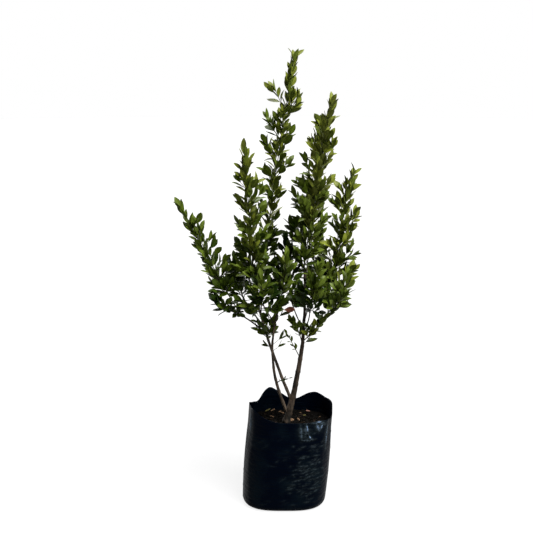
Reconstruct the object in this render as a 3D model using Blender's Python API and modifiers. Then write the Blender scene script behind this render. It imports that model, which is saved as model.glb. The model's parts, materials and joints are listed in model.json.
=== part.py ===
"""A young evergreen euonymus with three stems, standing in a black film planter bag of potting mix.

Blender 4.5, metres, +Z up. The origin is the middle of the bag's flat underside, on the ground.
-Y is the front. Every limb is one tapering solid, and every mass of foliage is one solid: a leader,
its side shoots and their leaves, joined in a single union.
"""

import math
import random

import bmesh
import bpy
from mathutils import Matrix, Quaternion, Vector
from mathutils.bvhtree import BVHTree

# ---------------------------------------------------------------- driving sizes, in metres

GAP = 0.0003  # clearance between solids that meet
UP = Vector((0, 0, 1))

# The planter bag: a soft square tube of film on a flat base.
BAG_WIDTH = 0.218
BAG_DEPTH = 0.200
BAG_LEAN = 0.017  # how far the mouth stands to +X of the base
BAG_SQUARENESS = 3.0  # exponent of the outline: 2 is an ellipse, more is squarer
BAG_BASE_ROUND = 0.014  # radius that the film turns through at the base
BAG_SWELL = 0.003  # how far the filled part bulges
BAG_FILM = 0.0014
BAG_SIDES = 40
BAG_TOP = 0.246  # mean height of the mouth
# Height of the mouth's edge all round: direction in degrees (0 is +X, 90 the back) and height.
RIM_POINTS = [(0, 0.256), (38, 0.248), (52, 0.257), (62, 0.252), (78, 0.234), (92, 0.237), (120, 0.270),
              (128, 0.259), (136, 0.232), (150, 0.239), (165, 0.250), (180, 0.260), (200, 0.266),
              (217, 0.266), (230, 0.253), (247, 0.243), (262, 0.241), (292, 0.241), (307, 0.245),
              (345, 0.236)]
WALL_RINGS = (0.30, 0.60)  # heights of the wall's rings below the mix, as shares of the mean height
MOUTH_RINGS = (0.82, 1.00)  # and above it
RIM_WAVE_START = 0.60  # height, as a share of the mean height, where the waves begin

SOIL_LEVEL = 0.206
SOIL_CLEARANCE = 0.0006  # between the film and the mix
SOIL_DISH = 0.004  # how much lower the mix lies at the film than at the stems
SOIL_PATCH = 0.25  # share of the way to the film that is level, for the trunk to stand on
SOIL_SLOPE = 0.70  # share of the way where the mix has sunk by two fifths of the dish

# The trunk: the thickest stem, from its flat cut on the mix to the foot of the right spire.
TRUNK_PATH = [(0.006, 0.000, SOIL_LEVEL), (0.062, 0.002, 0.405), (0.049, 0.000, 0.610)]
TRUNK_RADII = (0.0092, 0.0022)
TRUNK_TAPER = 1.25  # above 1 the trunk thins faster near its foot
TRUNK_SIDES = 10
ROOT_FLARE = 0.0035  # extra radius at the cut
ROOT_FLARE_HEIGHT = 0.014

# Limbs: name, parent, share of the parent's length where it leaves, point that it bends towards,
# tip, radius at the foot and at the tip.
LIMBS = [
    ("stem_left", "trunk", 0.05, (-0.055, -0.018, 0.377), (-0.014, -0.032, 0.520), 0.0046, 0.0021),
    ("stem_middle", "trunk", 0.14, (-0.040, 0.000, 0.413), (-0.070, 0.020, 0.527), 0.0044, 0.0026),
    ("bough_low_left", "stem_middle", 0.63, (-0.080, -0.030, 0.488), (-0.118, -0.045, 0.510), 0.0024, 0.0016),
    ("bough_far_left", "bough_low_left", 0.72, (-0.118, -0.030, 0.515), (-0.135, -0.025, 0.545), 0.0015, 0.0013),
    ("bough_left_shoulder", "stem_middle", 0.72, (-0.082, 0.030, 0.490), (-0.098, 0.035, 0.518), 0.0020, 0.0015),
    ("bough_left", "stem_middle", 0.985, (-0.071, 0.004, 0.552), (-0.074, -0.020, 0.575), 0.0021, 0.0018),
    ("bough_tall", "stem_middle", 0.94, (-0.050, 0.030, 0.550), (-0.050, 0.045, 0.590), 0.0022, 0.0019),
    ("bough_centre", "trunk", 0.62, (0.026, 0.016, 0.495), (0.018, 0.025, 0.525), 0.0018, 0.0014),
    ("bough_right", "trunk", 0.60, (0.096, 0.004, 0.474), (0.118, 0.026, 0.500), 0.0022, 0.0018),
    ("bough_right_shoulder", "bough_right", 0.60, (0.110, -0.030, 0.492), (0.117, -0.046, 0.512), 0.0016, 0.0013),
    ("bough_right_front", "trunk", 0.60, (0.060, -0.028, 0.478), (0.062, -0.048, 0.512), 0.0018, 0.0014),
    ("bough_front", "stem_left", 0.82, (-0.032, -0.050, 0.500), (-0.044, -0.074, 0.522), 0.0016, 0.0013),
    ("bough_twin", "trunk", 0.93, (0.058, 0.036, 0.605), (0.062, 0.046, 0.640), 0.0018, 0.0015),
    ("bough_back_right", "trunk", 0.66, (0.062, 0.046, 0.500), (0.072, 0.076, 0.532), 0.0018, 0.0014),
    ("bough_back_left", "stem_middle", 0.84, (-0.058, 0.056, 0.510), (-0.054, 0.084, 0.536), 0.0018, 0.0014),
]
LIMB_STEP = 0.024  # spacing of a limb's rings
LIMB_SIDES = 6
END_RING = 0.003  # a limb's last ring lies this near its end, so that the end is cut square

# Masses of foliage: name, limb that carries it, share of the limb where the leader starts, point
# that the leader bends towards, leader's tip, length of the lowest side shoots, their slant from
# straight up in degrees, number of side shoots, and the strong shoots that stand out of the
# outline: share of the leader, direction in degrees (0 is +X, 90 the back), length.
MASSES = [
    ("tall_spire", "bough_tall", 1.0, (-0.038, 0.062, 0.790), (0.025, 0.070, 1.120), 0.048, 48, 13,
     [(0.70, 170, 0.062), (0.775, 158, 0.074), (0.77, 12, 0.050), (0.89, 168, 0.048), (0.90, 8, 0.040)]),
    ("left_spire", "bough_left", 1.0, (-0.086, -0.062, 0.755), (-0.100, -0.095, 0.914), 0.050, 50, 12,
     [(0.30, 150, 0.060), (0.62, 10, 0.040)]),
    ("right_spire", "trunk", 1.0, (0.079, -0.030, 0.850), (0.116, -0.040, 1.018), 0.062, 46, 14,
     [(0.30, 172, 0.088), (0.43, 180, 0.072), (0.55, 170, 0.060), (0.63, 190, 0.058), (0.80, 4, 0.042)]),
    ("far_left_spire", "bough_far_left", 1.0, (-0.176, -0.028, 0.622), (-0.252, -0.030, 0.768), 0.048, 50, 10,
     [(0.06, 200, 0.050), (0.14, 20, 0.060), (0.42, 20, 0.036)]),
    ("far_right_spire", "bough_right", 1.0, (0.118, 0.060, 0.670), (0.172, 0.070, 0.832), 0.062, 52, 12,
     [(0.45, 178, 0.066), (0.66, 174, 0.066), (0.42, 350, 0.050), (0.68, 6, 0.036)]),
    ("twin_spire", "bough_twin", 1.0, (0.078, 0.082, 0.810), (0.083, 0.090, 0.955), 0.050, 46, 9, []),
    ("centre_front", "stem_left", 1.0, (-0.006, -0.048, 0.570), (0.004, -0.065, 0.650), 0.064, 80, 9, []),
    ("centre_back", "bough_centre", 1.0, (0.006, 0.040, 0.590), (0.004, 0.050, 0.665), 0.066, 72, 8, []),
    ("left_shoulder", "bough_left_shoulder", 1.0, (-0.118, 0.045, 0.560), (-0.126, 0.050, 0.622), 0.066, 80, 9,
     []),
    ("left_low", "bough_low_left", 1.0, (-0.150, -0.055, 0.522), (-0.172, -0.060, 0.552), 0.054, 84, 8, []),
    ("front_low", "bough_front", 1.0, (-0.056, -0.112, 0.555), (-0.058, -0.130, 0.612), 0.064, 82, 9, []),
    ("right_shoulder", "bough_right_shoulder", 1.0, (0.138, -0.075, 0.545), (0.150, -0.082, 0.600), 0.062, 72,
     8, []),
    ("right_front", "bough_right_front", 1.0, (0.068, -0.090, 0.560), (0.078, -0.110, 0.632), 0.064, 72, 8, []),
    ("back_right", "bough_back_right", 1.0, (0.092, 0.120, 0.575), (0.098, 0.142, 0.652), 0.066, 70, 8, []),
    ("back_left", "bough_back_left", 1.0, (-0.056, 0.124, 0.575), (-0.062, 0.144, 0.655), 0.066, 70, 8, []),
    ("low_right_spray", "trunk", 0.54, (0.070, -0.022, 0.446), (0.096, -0.036, 0.470), 0.042, 70, 4, []),
    ("low_left_spray", "trunk", 0.52, (0.040, -0.014, 0.455), (0.022, -0.030, 0.480), 0.040, 70, 3, []),
    ("trunk_shoot", "trunk", 0.43, (0.026, -0.012, 0.412), (0.008, -0.020, 0.448), 0.020, 60, 0, []),
    ("stem_spray", "stem_middle", 0.60, (-0.048, -0.012, 0.440), (-0.030, -0.016, 0.474), 0.034, 60, 3, []),
    ("low_sprig", "stem_left", 0.30, (-0.008, -0.023, 0.331), (0.010, -0.027, 0.334), 0.016, 60, 0, []),
]
LEADER_STEP = 0.060  # spacing of a leader's rings
LEADER_FOOT_RADIUS = 0.0022
SPRAY_FOOT_RADIUS = 0.0016  # of a leader that leaves the side of a limb
LEADER_TIP_RADIUS = 0.0011
LEADER_STRAIGHT = 0.020  # how far a leader goes on in its limb's direction
SIDE_SHOOT_SHARES = (0.03, 0.92)  # the stretch of a leader that carries side shoots
TOP_SLANT = 34  # slant of the highest side shoots
TOP_SHRINK = 0.85  # how much shorter they are than the lowest
SIDE_SHOOT_RADII = (0.0021, 0.0012)
SIDE_SHOOT_LIFT = 0.22  # how far a shoot's tip turns up, as a share of its length
SHORTEST_SHOOT = 0.012
STRAIGHT_SHOOT = 0.045  # shoots under this length don't bend
SHOOT_BEND = 0.55  # share of a shoot's length where it bends
SHOOT_SPREAD = (0.80, 1.10)  # how far shoots vary in length
GOLDEN_ANGLE = math.radians(137.5)
TWIG_SIDES = 3
BARE_FOOT = 0.008  # the stretch of a side shoot with no leaves

LEAF_LENGTH = 0.046
LEAF_WIDTH = 0.0225
LEAF_KEEL = 0.0022  # how far the midrib stands below the edges
LEAF_WIDEST = 0.56  # share of the length where a leaf is widest
LEAF_DEEPEST = 0.30  # share of the length where its keel is deepest
LEAF_OPENING = math.radians(42)  # angle between a leaf and its twig
LEAF_ROOT_SUNK = 0.0004  # how far a root lies beyond its twig's centre line
PAIR_SPACING = 0.027
LEAFY_SHARE = 0.75  # the part of a leader, from its tip, with leaves of its own
LEAF_SPREAD = (0.86, 1.08)  # how far leaves vary in size
PAIR_TURN = 0.2  # how far a pair may turn from its right angle to the last, either way
TIP_PAIR = 0.0012  # how far the last pair stands from the tip
TIP_PAIR_SIZE = 0.85
FULL_REACH = 0.045  # a mass with shorter side shoots than this has smaller leaves

TOUCH_MARGIN = 0.0005  # kept by leaves and twigs to limbs and to other masses
ROOT_SHARE = 0.14  # the part of a leaf that may meet its own mass
LEADER_SAMPLES = 12  # stretches of a leader that the distance to it is taken from
SPACE_WEIGHT = 0.35  # how much of its side shoots' length a mass adds to the space that it holds
SEED = 22


# ---------------------------------------------------------------- scene, materials and meshes

def clear_scene():
    for item in list(bpy.data.objects):
        bpy.data.objects.remove(item, do_unlink=True)


def make_material(name, colour, roughness):
    material = bpy.data.materials.new(name)
    material.use_nodes = True
    shader = material.node_tree.nodes["Principled BSDF"]
    shader.inputs["Base Color"].default_value = (*colour, 1.0)
    shader.inputs["Roughness"].default_value = roughness
    material.diffuse_color = (*colour, 1.0)
    return material


def new_object(name, mesh, collection):
    item = bpy.data.objects.new(name, mesh)
    collection.objects.link(item)
    return item


def mesh_from(bm, name):
    mesh = bpy.data.meshes.new(name)
    bm.to_mesh(mesh)
    bm.free()
    return mesh


def evaluated_mesh(item):
    graph = bpy.context.evaluated_depsgraph_get()
    return bpy.data.meshes.new_from_object(item.evaluated_get(graph), depsgraph=graph)


def finish_object(item, origin, material):
    """Give an object its material, and its origin at a point, with its mesh left where it is."""
    item.data.materials.clear()
    item.data.materials.append(material)
    item.data.transform(Matrix.Translation(-origin))
    item.location = origin


def surface_of(mesh):
    """A mesh's surface, to test others against. The mesh is in world coordinates."""
    points = [vert.co.copy() for vert in mesh.vertices]
    return BVHTree.FromPolygons(points, [tuple(face.vertices) for face in mesh.polygons])


# ---------------------------------------------------------------- limbs and twigs

def on_path(path, share):
    """A point of the Bezier curve with these control points."""
    points = [Vector(p) for p in path]
    while len(points) > 1:
        points = [a.lerp(b, share) for a, b in zip(points, points[1:])]
    return points[0]


def path_direction(path, share):
    step = 0.001
    start = max(share - step, 0.0)
    return (on_path(path, min(start + 2 * step, 1.0)) - on_path(path, start)).normalized()


def path_length(path, pieces=16):
    points = [on_path(path, i / pieces) for i in range(pieces + 1)]
    return sum((b - a).length for a, b in zip(points, points[1:]))


def profile_curve(sides):
    """The section of a twig, as a small closed curve of unit radius."""
    curve = bpy.data.curves.new("twig_section", "CURVE")
    curve.dimensions = "2D"
    spline = curve.splines.new("POLY")
    spline.points.add(sides - 1)
    for i, point in enumerate(spline.points):
        angle = 2 * math.pi * i / sides
        point.co = (math.cos(angle), math.sin(angle), 0, 1)
    spline.use_cyclic_u = True
    item = bpy.data.objects.new("twig_section", curve)
    bpy.context.scene.collection.objects.link(item)
    return item


def tube(name, collection, points, radii, sides):
    """A closed tapering tube through the points, as a mesh object."""
    curve = bpy.data.curves.new(name, "CURVE")
    curve.dimensions = "3D"
    curve.use_fill_caps = True
    section = profile_curve(sides)
    curve.bevel_mode = "OBJECT"
    curve.bevel_object = section
    spline = curve.splines.new("POLY")
    spline.points.add(len(points) - 1)
    for point, place, radius in zip(spline.points, points, radii):
        point.co = (*place, 1)
        point.radius = radius
    guide = new_object(name + "_guide", curve, collection)
    mesh = evaluated_mesh(guide)
    bm = bmesh.new()
    bm.from_mesh(mesh)
    bmesh.ops.remove_doubles(bm, verts=bm.verts, dist=0.00001)
    bmesh.ops.recalc_face_normals(bm, faces=bm.faces)
    bm.to_mesh(mesh)
    bm.free()
    item = new_object(name, mesh, collection)
    item.matrix_world = guide.matrix_world
    bpy.data.objects.remove(guide)
    bpy.data.objects.remove(section)
    return item


def limb_radius(limb, share):
    foot, tip = limb["radii"]
    radius = tip + (foot - tip) * (1 - share) ** limb["taper"]
    return radius + limb["flare"] * math.exp(-share * limb["length"] / ROOT_FLARE_HEIGHT)


def limb_form(path, radii, taper=1.0, flare=0.0, sides=LIMB_SIDES, step=LIMB_STEP):
    return {"path": path, "radii": radii, "taper": taper, "flare": flare, "sides": sides,
            "step": step, "length": path_length(path)}


def limb_shares(limb):
    count = max(3, round(limb["length"] / limb["step"]))
    shares = [i / count for i in range(count + 1)]
    end = END_RING / limb["length"]
    shares[1:1] = [end]
    shares[-1:-1] = [1 - end]
    if limb["flare"]:
        shares[2:2] = [0.25 / count, 0.55 / count]
    return shares


def limb_tube(name, collection, limb, swell=0.0, start=0.0):
    """The limb's tube. With swell it is that much fatter and longer, to cut its neighbours clear."""
    shares = limb_shares(limb)
    points = [on_path(limb["path"], s) for s in shares]
    points[0] = points[0] + path_direction(limb["path"], 0) * (start - swell)
    points[-1] = points[-1] + path_direction(limb["path"], 1) * swell
    widen = swell / math.cos(math.pi / limb["sides"])
    radii = [limb_radius(limb, s) + widen for s in shares]
    return tube(name, collection, points, radii, limb["sides"])


def keep_largest_body(item):
    """Drop the loose scraps that a cut may leave."""
    bm = bmesh.new()
    bm.from_mesh(item.data)
    bm.verts.ensure_lookup_table()
    unseen = set(bm.verts)
    bodies = []
    while unseen:
        body = [unseen.pop()]
        for vert in body:
            for edge in vert.link_edges:
                other = edge.other_vert(vert)
                if other in unseen:
                    unseen.remove(other)
                    body.append(other)
        bodies.append(body)
    bodies.sort(key=len)
    for body in bodies[:-1]:
        bmesh.ops.delete(bm, geom=body, context="VERTS")
    bm.to_mesh(item.data)
    bm.free()


def cut_clear(item, parent, cutters):
    """Cut an object clear of its parent limb, by the gap."""
    cutter = limb_tube(item.name + "_cutter", cutters, parent, swell=GAP)
    cutter.hide_render = True
    cutter.display_type = "WIRE"
    cut = item.modifiers.new("clear", "BOOLEAN")
    cut.operation = "DIFFERENCE"
    cut.solver = "EXACT"
    cut.object = cutter
    item.data = evaluated_mesh(item)
    item.modifiers.clear()
    bpy.data.objects.remove(cutter)
    keep_largest_body(item)


def cut_level(item, height):
    """Cut a trunk flat where it meets the mix."""
    bm = bmesh.new()
    bm.from_mesh(item.data)
    everything = bm.verts[:] + bm.edges[:] + bm.faces[:]
    bmesh.ops.bisect_plane(bm, geom=everything, plane_co=(0, 0, height), plane_no=UP, clear_inner=True)
    bmesh.ops.holes_fill(bm, edges=[e for e in bm.edges if e.is_boundary])
    bmesh.ops.recalc_face_normals(bm, faces=bm.faces)
    bm.to_mesh(item.data)
    bm.free()


def build_limbs(collection, cutters, material):
    limbs = {"trunk": limb_form(TRUNK_PATH, TRUNK_RADII, TRUNK_TAPER, ROOT_FLARE, TRUNK_SIDES)}
    objects = {"trunk": limb_tube("trunk", collection, limbs["trunk"], start=-2 * ROOT_FLARE)}
    cut_level(objects["trunk"], SOIL_LEVEL + GAP)
    for name, parent, share, bend, tip, foot_radius, tip_radius in LIMBS:
        foot = on_path(limbs[parent]["path"], share)
        limbs[name] = limb_form([foot, bend, tip], (foot_radius, tip_radius))
        objects[name] = limb_tube(name, collection, limbs[name])
        cut_clear(objects[name], limbs[parent], cutters)
    surfaces = [surface_of(item.data) for item in objects.values()]
    for name, item in objects.items():
        finish_object(item, on_path(limbs[name]["path"], 0), material)
    return limbs, surfaces


# ---------------------------------------------------------------- leaves

def leaf_mesh(name, root, along, face, length, width, keel):
    """A leaf of six faces: root, tip, two side points, and a keel under its midrib."""
    bm = bmesh.new()
    bmesh.ops.create_uvsphere(bm, u_segments=3, v_segments=2, radius=1)
    side = face.cross(along).normalized()
    for vert in bm.verts:
        x, y, way = vert.co
        if abs(way) > 0.5:
            place = 0.5 + 0.5 * way, 0.0, 0.0
        elif x > 0.5:
            place = LEAF_DEEPEST, 0.0, -keel
        else:
            place = LEAF_WIDEST, math.copysign(0.5 * width, y), 0.0
        share, across, lift = place
        vert.co = root + along * (length * share) + side * across + face * lift
    return mesh_from(bm, name)


def leaf_frames(direction, turn):
    """The two opposite leaves of a pair: each one's direction and the way its face looks."""
    across = direction.orthogonal().normalized()
    frames = []
    for half in (0, math.pi):
        side = Quaternion(direction, turn + half) @ across
        along = direction * math.cos(LEAF_OPENING) + side * math.sin(LEAF_OPENING)
        frames.append((along, (direction - along * direction.dot(along)).normalized()))
    return frames


# ---------------------------------------------------------------- space kept by each mass

class Crown:
    """What has grown so far, and the space that each mass holds round its leader."""

    def __init__(self, surfaces):
        self.surfaces = list(surfaces)
        self.leaders = {}
        self.weights = {}

    def claim(self, name, path, reach):
        self.leaders[name] = [on_path(path, i / LEADER_SAMPLES) for i in range(LEADER_SAMPLES + 1)]
        self.weights[name] = SPACE_WEIGHT * reach

    def owner(self, point):
        """The mass whose leader is nearest, once its weight is taken off."""
        def distance(name):
            return min((point - place).length for place in self.leaders[name]) - self.weights[name]
        return min(self.leaders, key=distance)


def touches(mesh, surfaces):
    """Whether a trial mesh meets any of the surfaces. The mesh is removed."""
    trial = surface_of(mesh)
    bpy.data.meshes.remove(mesh)
    return any(trial.overlap(surface) for surface in surfaces)


def leaf_is_clear(crown, own, root, along, face, length, width):
    """Whether a leaf stays clear of all that has grown. Only near its root may it meet its own mass."""
    wide = width + 2 * TOUCH_MARGIN
    deep = LEAF_KEEL + 2 * TOUCH_MARGIN
    whole = leaf_mesh("whole", root, along, face, length, wide, deep)
    if touches(whole, crown.surfaces):
        return False
    outer_root = root + along * (ROOT_SHARE * length)
    outer = leaf_mesh("outer", outer_root, along, face, (1 - ROOT_SHARE) * length, wide, deep)
    return not touches(outer, own)


# ---------------------------------------------------------------- masses of foliage

def leader_path(limb, share, bend, tip):
    """A leader goes on from its limb's tip, clear by the gap, or leaves the limb's side."""
    start = on_path(limb["path"], share)
    if share < 1.0:
        return [start, bend, tip]
    direction = path_direction(limb["path"], 1)
    start = start + direction * GAP
    return [start, start + direction * LEADER_STRAIGHT, bend, tip]


def shoot_points(foot, direction, length):
    """A shoot's centre line: it leaves the leader at a slant, and a long one turns up to its tip."""
    if length < STRAIGHT_SHOOT:
        return [foot, foot + direction * length]
    bend = foot + direction * (SHOOT_BEND * length)
    tip = bend + (direction + UP * 2 * SIDE_SHOOT_LIFT).normalized() * ((1 - SHOOT_BEND) * length)
    return [foot, bend, tip]


def side_shoots(path, reach, slant, count, strong, rng):
    """Foot, direction and length of each side shoot of a leader, from its foot upwards."""
    shoots = []
    first, last = SIDE_SHOOT_SHARES
    turn = rng.uniform(0, 2 * math.pi)
    for i in range(count):
        place = first + (last - first) * (i + 0.5) / count
        length = reach * (1 - TOP_SHRINK * place ** 1.3) * rng.uniform(*SHOOT_SPREAD)
        shoots.append((place, turn + i * GOLDEN_ANGLE, length))
    shoots += [(place, math.radians(angle), length) for place, angle, length in strong]
    for place, angle, length in sorted(shoots):
        outward = Vector((math.cos(angle), math.sin(angle), 0))
        spread = math.radians(slant + (TOP_SLANT - slant) * place)
        direction = UP * math.cos(spread) + outward * math.sin(spread)
        if length > SHORTEST_SHOOT:
            yield on_path(path, place), direction, length


def back_along(points, distance):
    """The point this far back from the end of a line, and the line's direction there."""
    for end, start in zip(points[::-1], points[-2::-1]):
        span = (end - start).length
        if distance <= span or start is points[0]:
            way = (end - start).normalized()
            return end - way * min(distance, span), way
        distance -= span


def grow_twigs(name, crown, own, parts, shoots):
    """Every side shoot that stays clear and in the mass's space. Returns each line and its leafy length."""
    lines = []
    foot_radius, tip_radius = SIDE_SHOOT_RADII
    for foot, direction, length in shoots:
        points = shoot_points(foot, direction, length)
        if crown.owner(points[-1]) != name:
            continue
        radii = [foot_radius, *[tip_radius] * (len(points) - 1)]
        trial = tube("trial", parts, points, [radius + 2 * TOUCH_MARGIN for radius in radii], TWIG_SIDES)
        trial_mesh = trial.data
        bpy.data.objects.remove(trial)
        if touches(trial_mesh, crown.surfaces):
            continue
        twig = tube(f"{name}_twig_{len(lines)}", parts, points, radii, TWIG_SIDES)
        own.append(surface_of(twig.data))
        lines.append((points, length - BARE_FOOT))
    return lines


def grow_leaves(name, crown, own, parts, points, leafy, vigour, rng):
    """Opposite pairs from a line's tip backwards, each pair a quarter turn from the last."""
    turn = rng.uniform(0, math.pi)
    for pair in range(max(1, round(leafy / PAIR_SPACING))):
        place, direction = back_along(points, TIP_PAIR + pair * PAIR_SPACING)
        turn += math.pi / 2
        size = rng.uniform(*LEAF_SPREAD) * vigour * (TIP_PAIR_SIZE if pair == 0 else 1.0)
        length = LEAF_LENGTH * size
        width = LEAF_WIDTH * size
        for along, face in leaf_frames(direction, turn + rng.uniform(-PAIR_TURN, PAIR_TURN)):
            root = place - along * (LEAF_ROOT_SUNK * rng.uniform(0.6, 1.6))
            if crown.owner(root + along * (0.5 * length)) != name:
                continue
            if not leaf_is_clear(crown, own, root, along, face, length, width):
                continue
            leaf = leaf_mesh(name + "_leaf", root, along, face, length, width, LEAF_KEEL * size)
            new_object(name + "_leaf", leaf, parts)
            own.append(surface_of(leaf))


def grow_mass(entry, limbs, crown, collection, cutters, material):
    """One mass of foliage, as one solid: leader, side shoots and leaves in a single union."""
    name, limb_name, share, bend, tip, reach, slant, count, strong = entry
    rng = random.Random(SEED + sum(map(ord, name)))
    limb = limbs[limb_name]
    path = leader_path(limb, share, bend, tip)
    foot_radius = LEADER_FOOT_RADIUS if share == 1.0 else SPRAY_FOOT_RADIUS
    foot_radius = min(foot_radius, limb_radius(limb, share))
    form = limb_form(path, (foot_radius, LEADER_TIP_RADIUS), sides=TWIG_SIDES, step=LEADER_STEP)
    leader = limb_tube(name, collection, form)
    if share < 1.0:
        cut_clear(leader, limb, cutters)
    parts = bpy.data.collections.new(name + "_parts")
    bpy.context.scene.collection.children.link(parts)
    own = [surface_of(leader.data)]
    shoots = side_shoots(path, reach, slant, count, strong, rng)
    lines = grow_twigs(name, crown, own, parts, shoots)
    rings = [on_path(path, s) for s in limb_shares(form)]
    lines.insert(0, (rings, LEAFY_SHARE * form["length"]))
    for points, leafy in lines:
        grow_leaves(name, crown, own, parts, points, leafy, min(1.0, reach / FULL_REACH), rng)
    join = leader.modifiers.new("join", "BOOLEAN")
    join.operation = "UNION"
    join.operand_type = "COLLECTION"
    join.collection = parts
    join.solver = "MANIFOLD"  # far quicker here than EXACT, on parts that are all closed
    leader.data = evaluated_mesh(leader)
    leader.modifiers.clear()
    for item in list(parts.objects):
        bpy.data.objects.remove(item)
    bpy.data.collections.remove(parts)
    keep_largest_body(leader)
    crown.surfaces.append(surface_of(leader.data))
    finish_object(leader, path[0], material)


# ---------------------------------------------------------------- the bag and its mix

def rim_height(angle):
    """Height of the mouth's edge in a direction, between the two nearest rim points."""
    degrees = math.degrees(angle) % 360
    first, last = RIM_POINTS[0], RIM_POINTS[-1]
    points = [(last[0] - 360, last[1]), *RIM_POINTS, (first[0] + 360, first[1])]
    for (start, low), (end, high) in zip(points, points[1:]):
        if start <= degrees <= end:
            return low + (high - low) * (degrees - start) / (end - start)


def outline_radius(angle, inset):
    half_width = 0.5 * BAG_WIDTH - inset
    half_depth = 0.5 * BAG_DEPTH - inset
    across = abs(math.cos(angle) / half_width) ** BAG_SQUARENESS
    deep = abs(math.sin(angle) / half_depth) ** BAG_SQUARENESS
    return (across + deep) ** (-1 / BAG_SQUARENESS)


def bag_point(angle, out, rise, inset):
    """A point of the bag: out is 0 on the middle line to 1 at the film, rise is its height."""
    swell = BAG_SWELL * math.sin(math.pi * min(rise / SOIL_LEVEL, 1.0))
    radius = out * (outline_radius(angle, inset) + swell)
    return Vector((radius * math.cos(angle) + BAG_LEAN * rise / BAG_TOP, radius * math.sin(angle), rise))


def spun_profile(profile):
    """Spin a half profile of (out, rise) about the middle line, as a unit form to be shaped."""
    bm = bmesh.new()
    verts = [bm.verts.new((out, 0, rise)) for out, rise in profile]
    edges = [bm.edges.new(pair) for pair in zip(verts, verts[1:])]
    bmesh.ops.spin(bm, geom=verts + edges, cent=(0, 0, 0), axis=UP, angle=2 * math.pi,
                   steps=BAG_SIDES, use_merge=True)
    bmesh.ops.remove_doubles(bm, verts=bm.verts, dist=0.00001)
    return bm


def base_profile(inset):
    """From the middle of the base out and round its corner, as shares of the radius and heights."""
    round_share = BAG_BASE_ROUND / (0.5 * BAG_WIDTH)
    profile = [(0.0, inset), (0.5, inset)]
    for i in range(3):
        angle = math.radians(45 * i)
        out = 1 - round_share * (1 - math.sin(angle))
        profile.append((out, inset + BAG_BASE_ROUND * (1 - math.cos(angle))))
    return profile


def build_bag(collection, material):
    profile = base_profile(0.0) + [(1.0, BAG_TOP * share) for share in WALL_RINGS + MOUTH_RINGS]
    bm = spun_profile(profile)
    for vert in bm.verts:
        out = math.hypot(vert.co.x, vert.co.y)
        angle = math.atan2(vert.co.y, vert.co.x)
        rise = vert.co.z
        waved = max(0.0, rise / BAG_TOP - RIM_WAVE_START) / (1 - RIM_WAVE_START)
        rise *= 1 + (rim_height(angle) / BAG_TOP - 1) * waved
        vert.co = bag_point(angle, out, rise, 0.0)
    bmesh.ops.recalc_face_normals(bm, faces=bm.faces)
    bag = new_object("bag", mesh_from(bm, "bag"), collection)
    film = bag.modifiers.new("film", "SOLIDIFY")
    film.thickness = BAG_FILM
    film.offset = -1
    film.use_even_offset = True
    bag.data.materials.append(material)
    return bag


def build_soil(collection, material):
    inset = BAG_FILM + SOIL_CLEARANCE
    wall = [(1.0, BAG_TOP * share) for share in WALL_RINGS]
    top = [(1.0, SOIL_LEVEL - SOIL_DISH), (SOIL_SLOPE, SOIL_LEVEL - 0.4 * SOIL_DISH),
           (SOIL_PATCH, SOIL_LEVEL), (0.0, SOIL_LEVEL)]
    bm = spun_profile(base_profile(inset) + wall + top)
    for vert in bm.verts:
        out = math.hypot(vert.co.x, vert.co.y)
        vert.co = bag_point(math.atan2(vert.co.y, vert.co.x), out, vert.co.z, inset)
    bmesh.ops.recalc_face_normals(bm, faces=bm.faces)
    soil = new_object("soil", mesh_from(bm, "soil"), collection)
    soil.data.materials.append(material)
    return soil


# ---------------------------------------------------------------- the whole plant

def main():
    clear_scene()
    plant = bpy.data.collections.new("potted_euonymus")
    cutters = bpy.data.collections.new("cutters")
    for collection in (plant, cutters):
        bpy.context.scene.collection.children.link(collection)
    film = make_material("black_film", (0.012, 0.013, 0.016), 0.35)
    mix = make_material("potting_mix", (0.045, 0.028, 0.018), 0.95)
    bark = make_material("bark", (0.130, 0.095, 0.070), 0.85)
    leaf = make_material("leaf", (0.070, 0.120, 0.025), 0.40)

    frame = bpy.data.objects.new("plant_frame", None)
    plant.objects.link(frame)
    bag = build_bag(plant, film)
    build_soil(plant, mix)
    limbs, surfaces = build_limbs(plant, cutters, bark)
    crown = Crown([*surfaces, surface_of(bag.data)])
    for name, limb_name, share, bend, tip, reach, *_ in MASSES:
        crown.claim(name, leader_path(limbs[limb_name], share, bend, tip), reach)
    for entry in MASSES:
        grow_mass(entry, limbs, crown, plant, cutters, leaf)
    for item in plant.objects:
        if item.type == "MESH":
            item.parent = frame


main()
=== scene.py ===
# %% [markdown]
# # A young evergreen euonymus in a planter bag
#
# A nursery plant about 1.15 m tall: three stems from one root, six leafy spires over a low crown, and a
# bag of black film filled with potting mix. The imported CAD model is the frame, with a plain solid for
# each limb and each mass of foliage. This script grows the same plant again by the same rule and seeds,
# and carries it on to finer twigs and leaves of their real size.
#
# Particles or instances could scatter the leaves, but neither survives an export. Here all leaves of one
# tint are worked out together as arrays of points, and become one joined mesh.
#
# Lengths are in metres and angles in degrees, but a turn or a tilt is in radians.

import itertools
import json
import math
import random

import bmesh
import bpy
import numpy as np
from mathutils import Matrix, Quaternion, Vector, noise

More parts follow.
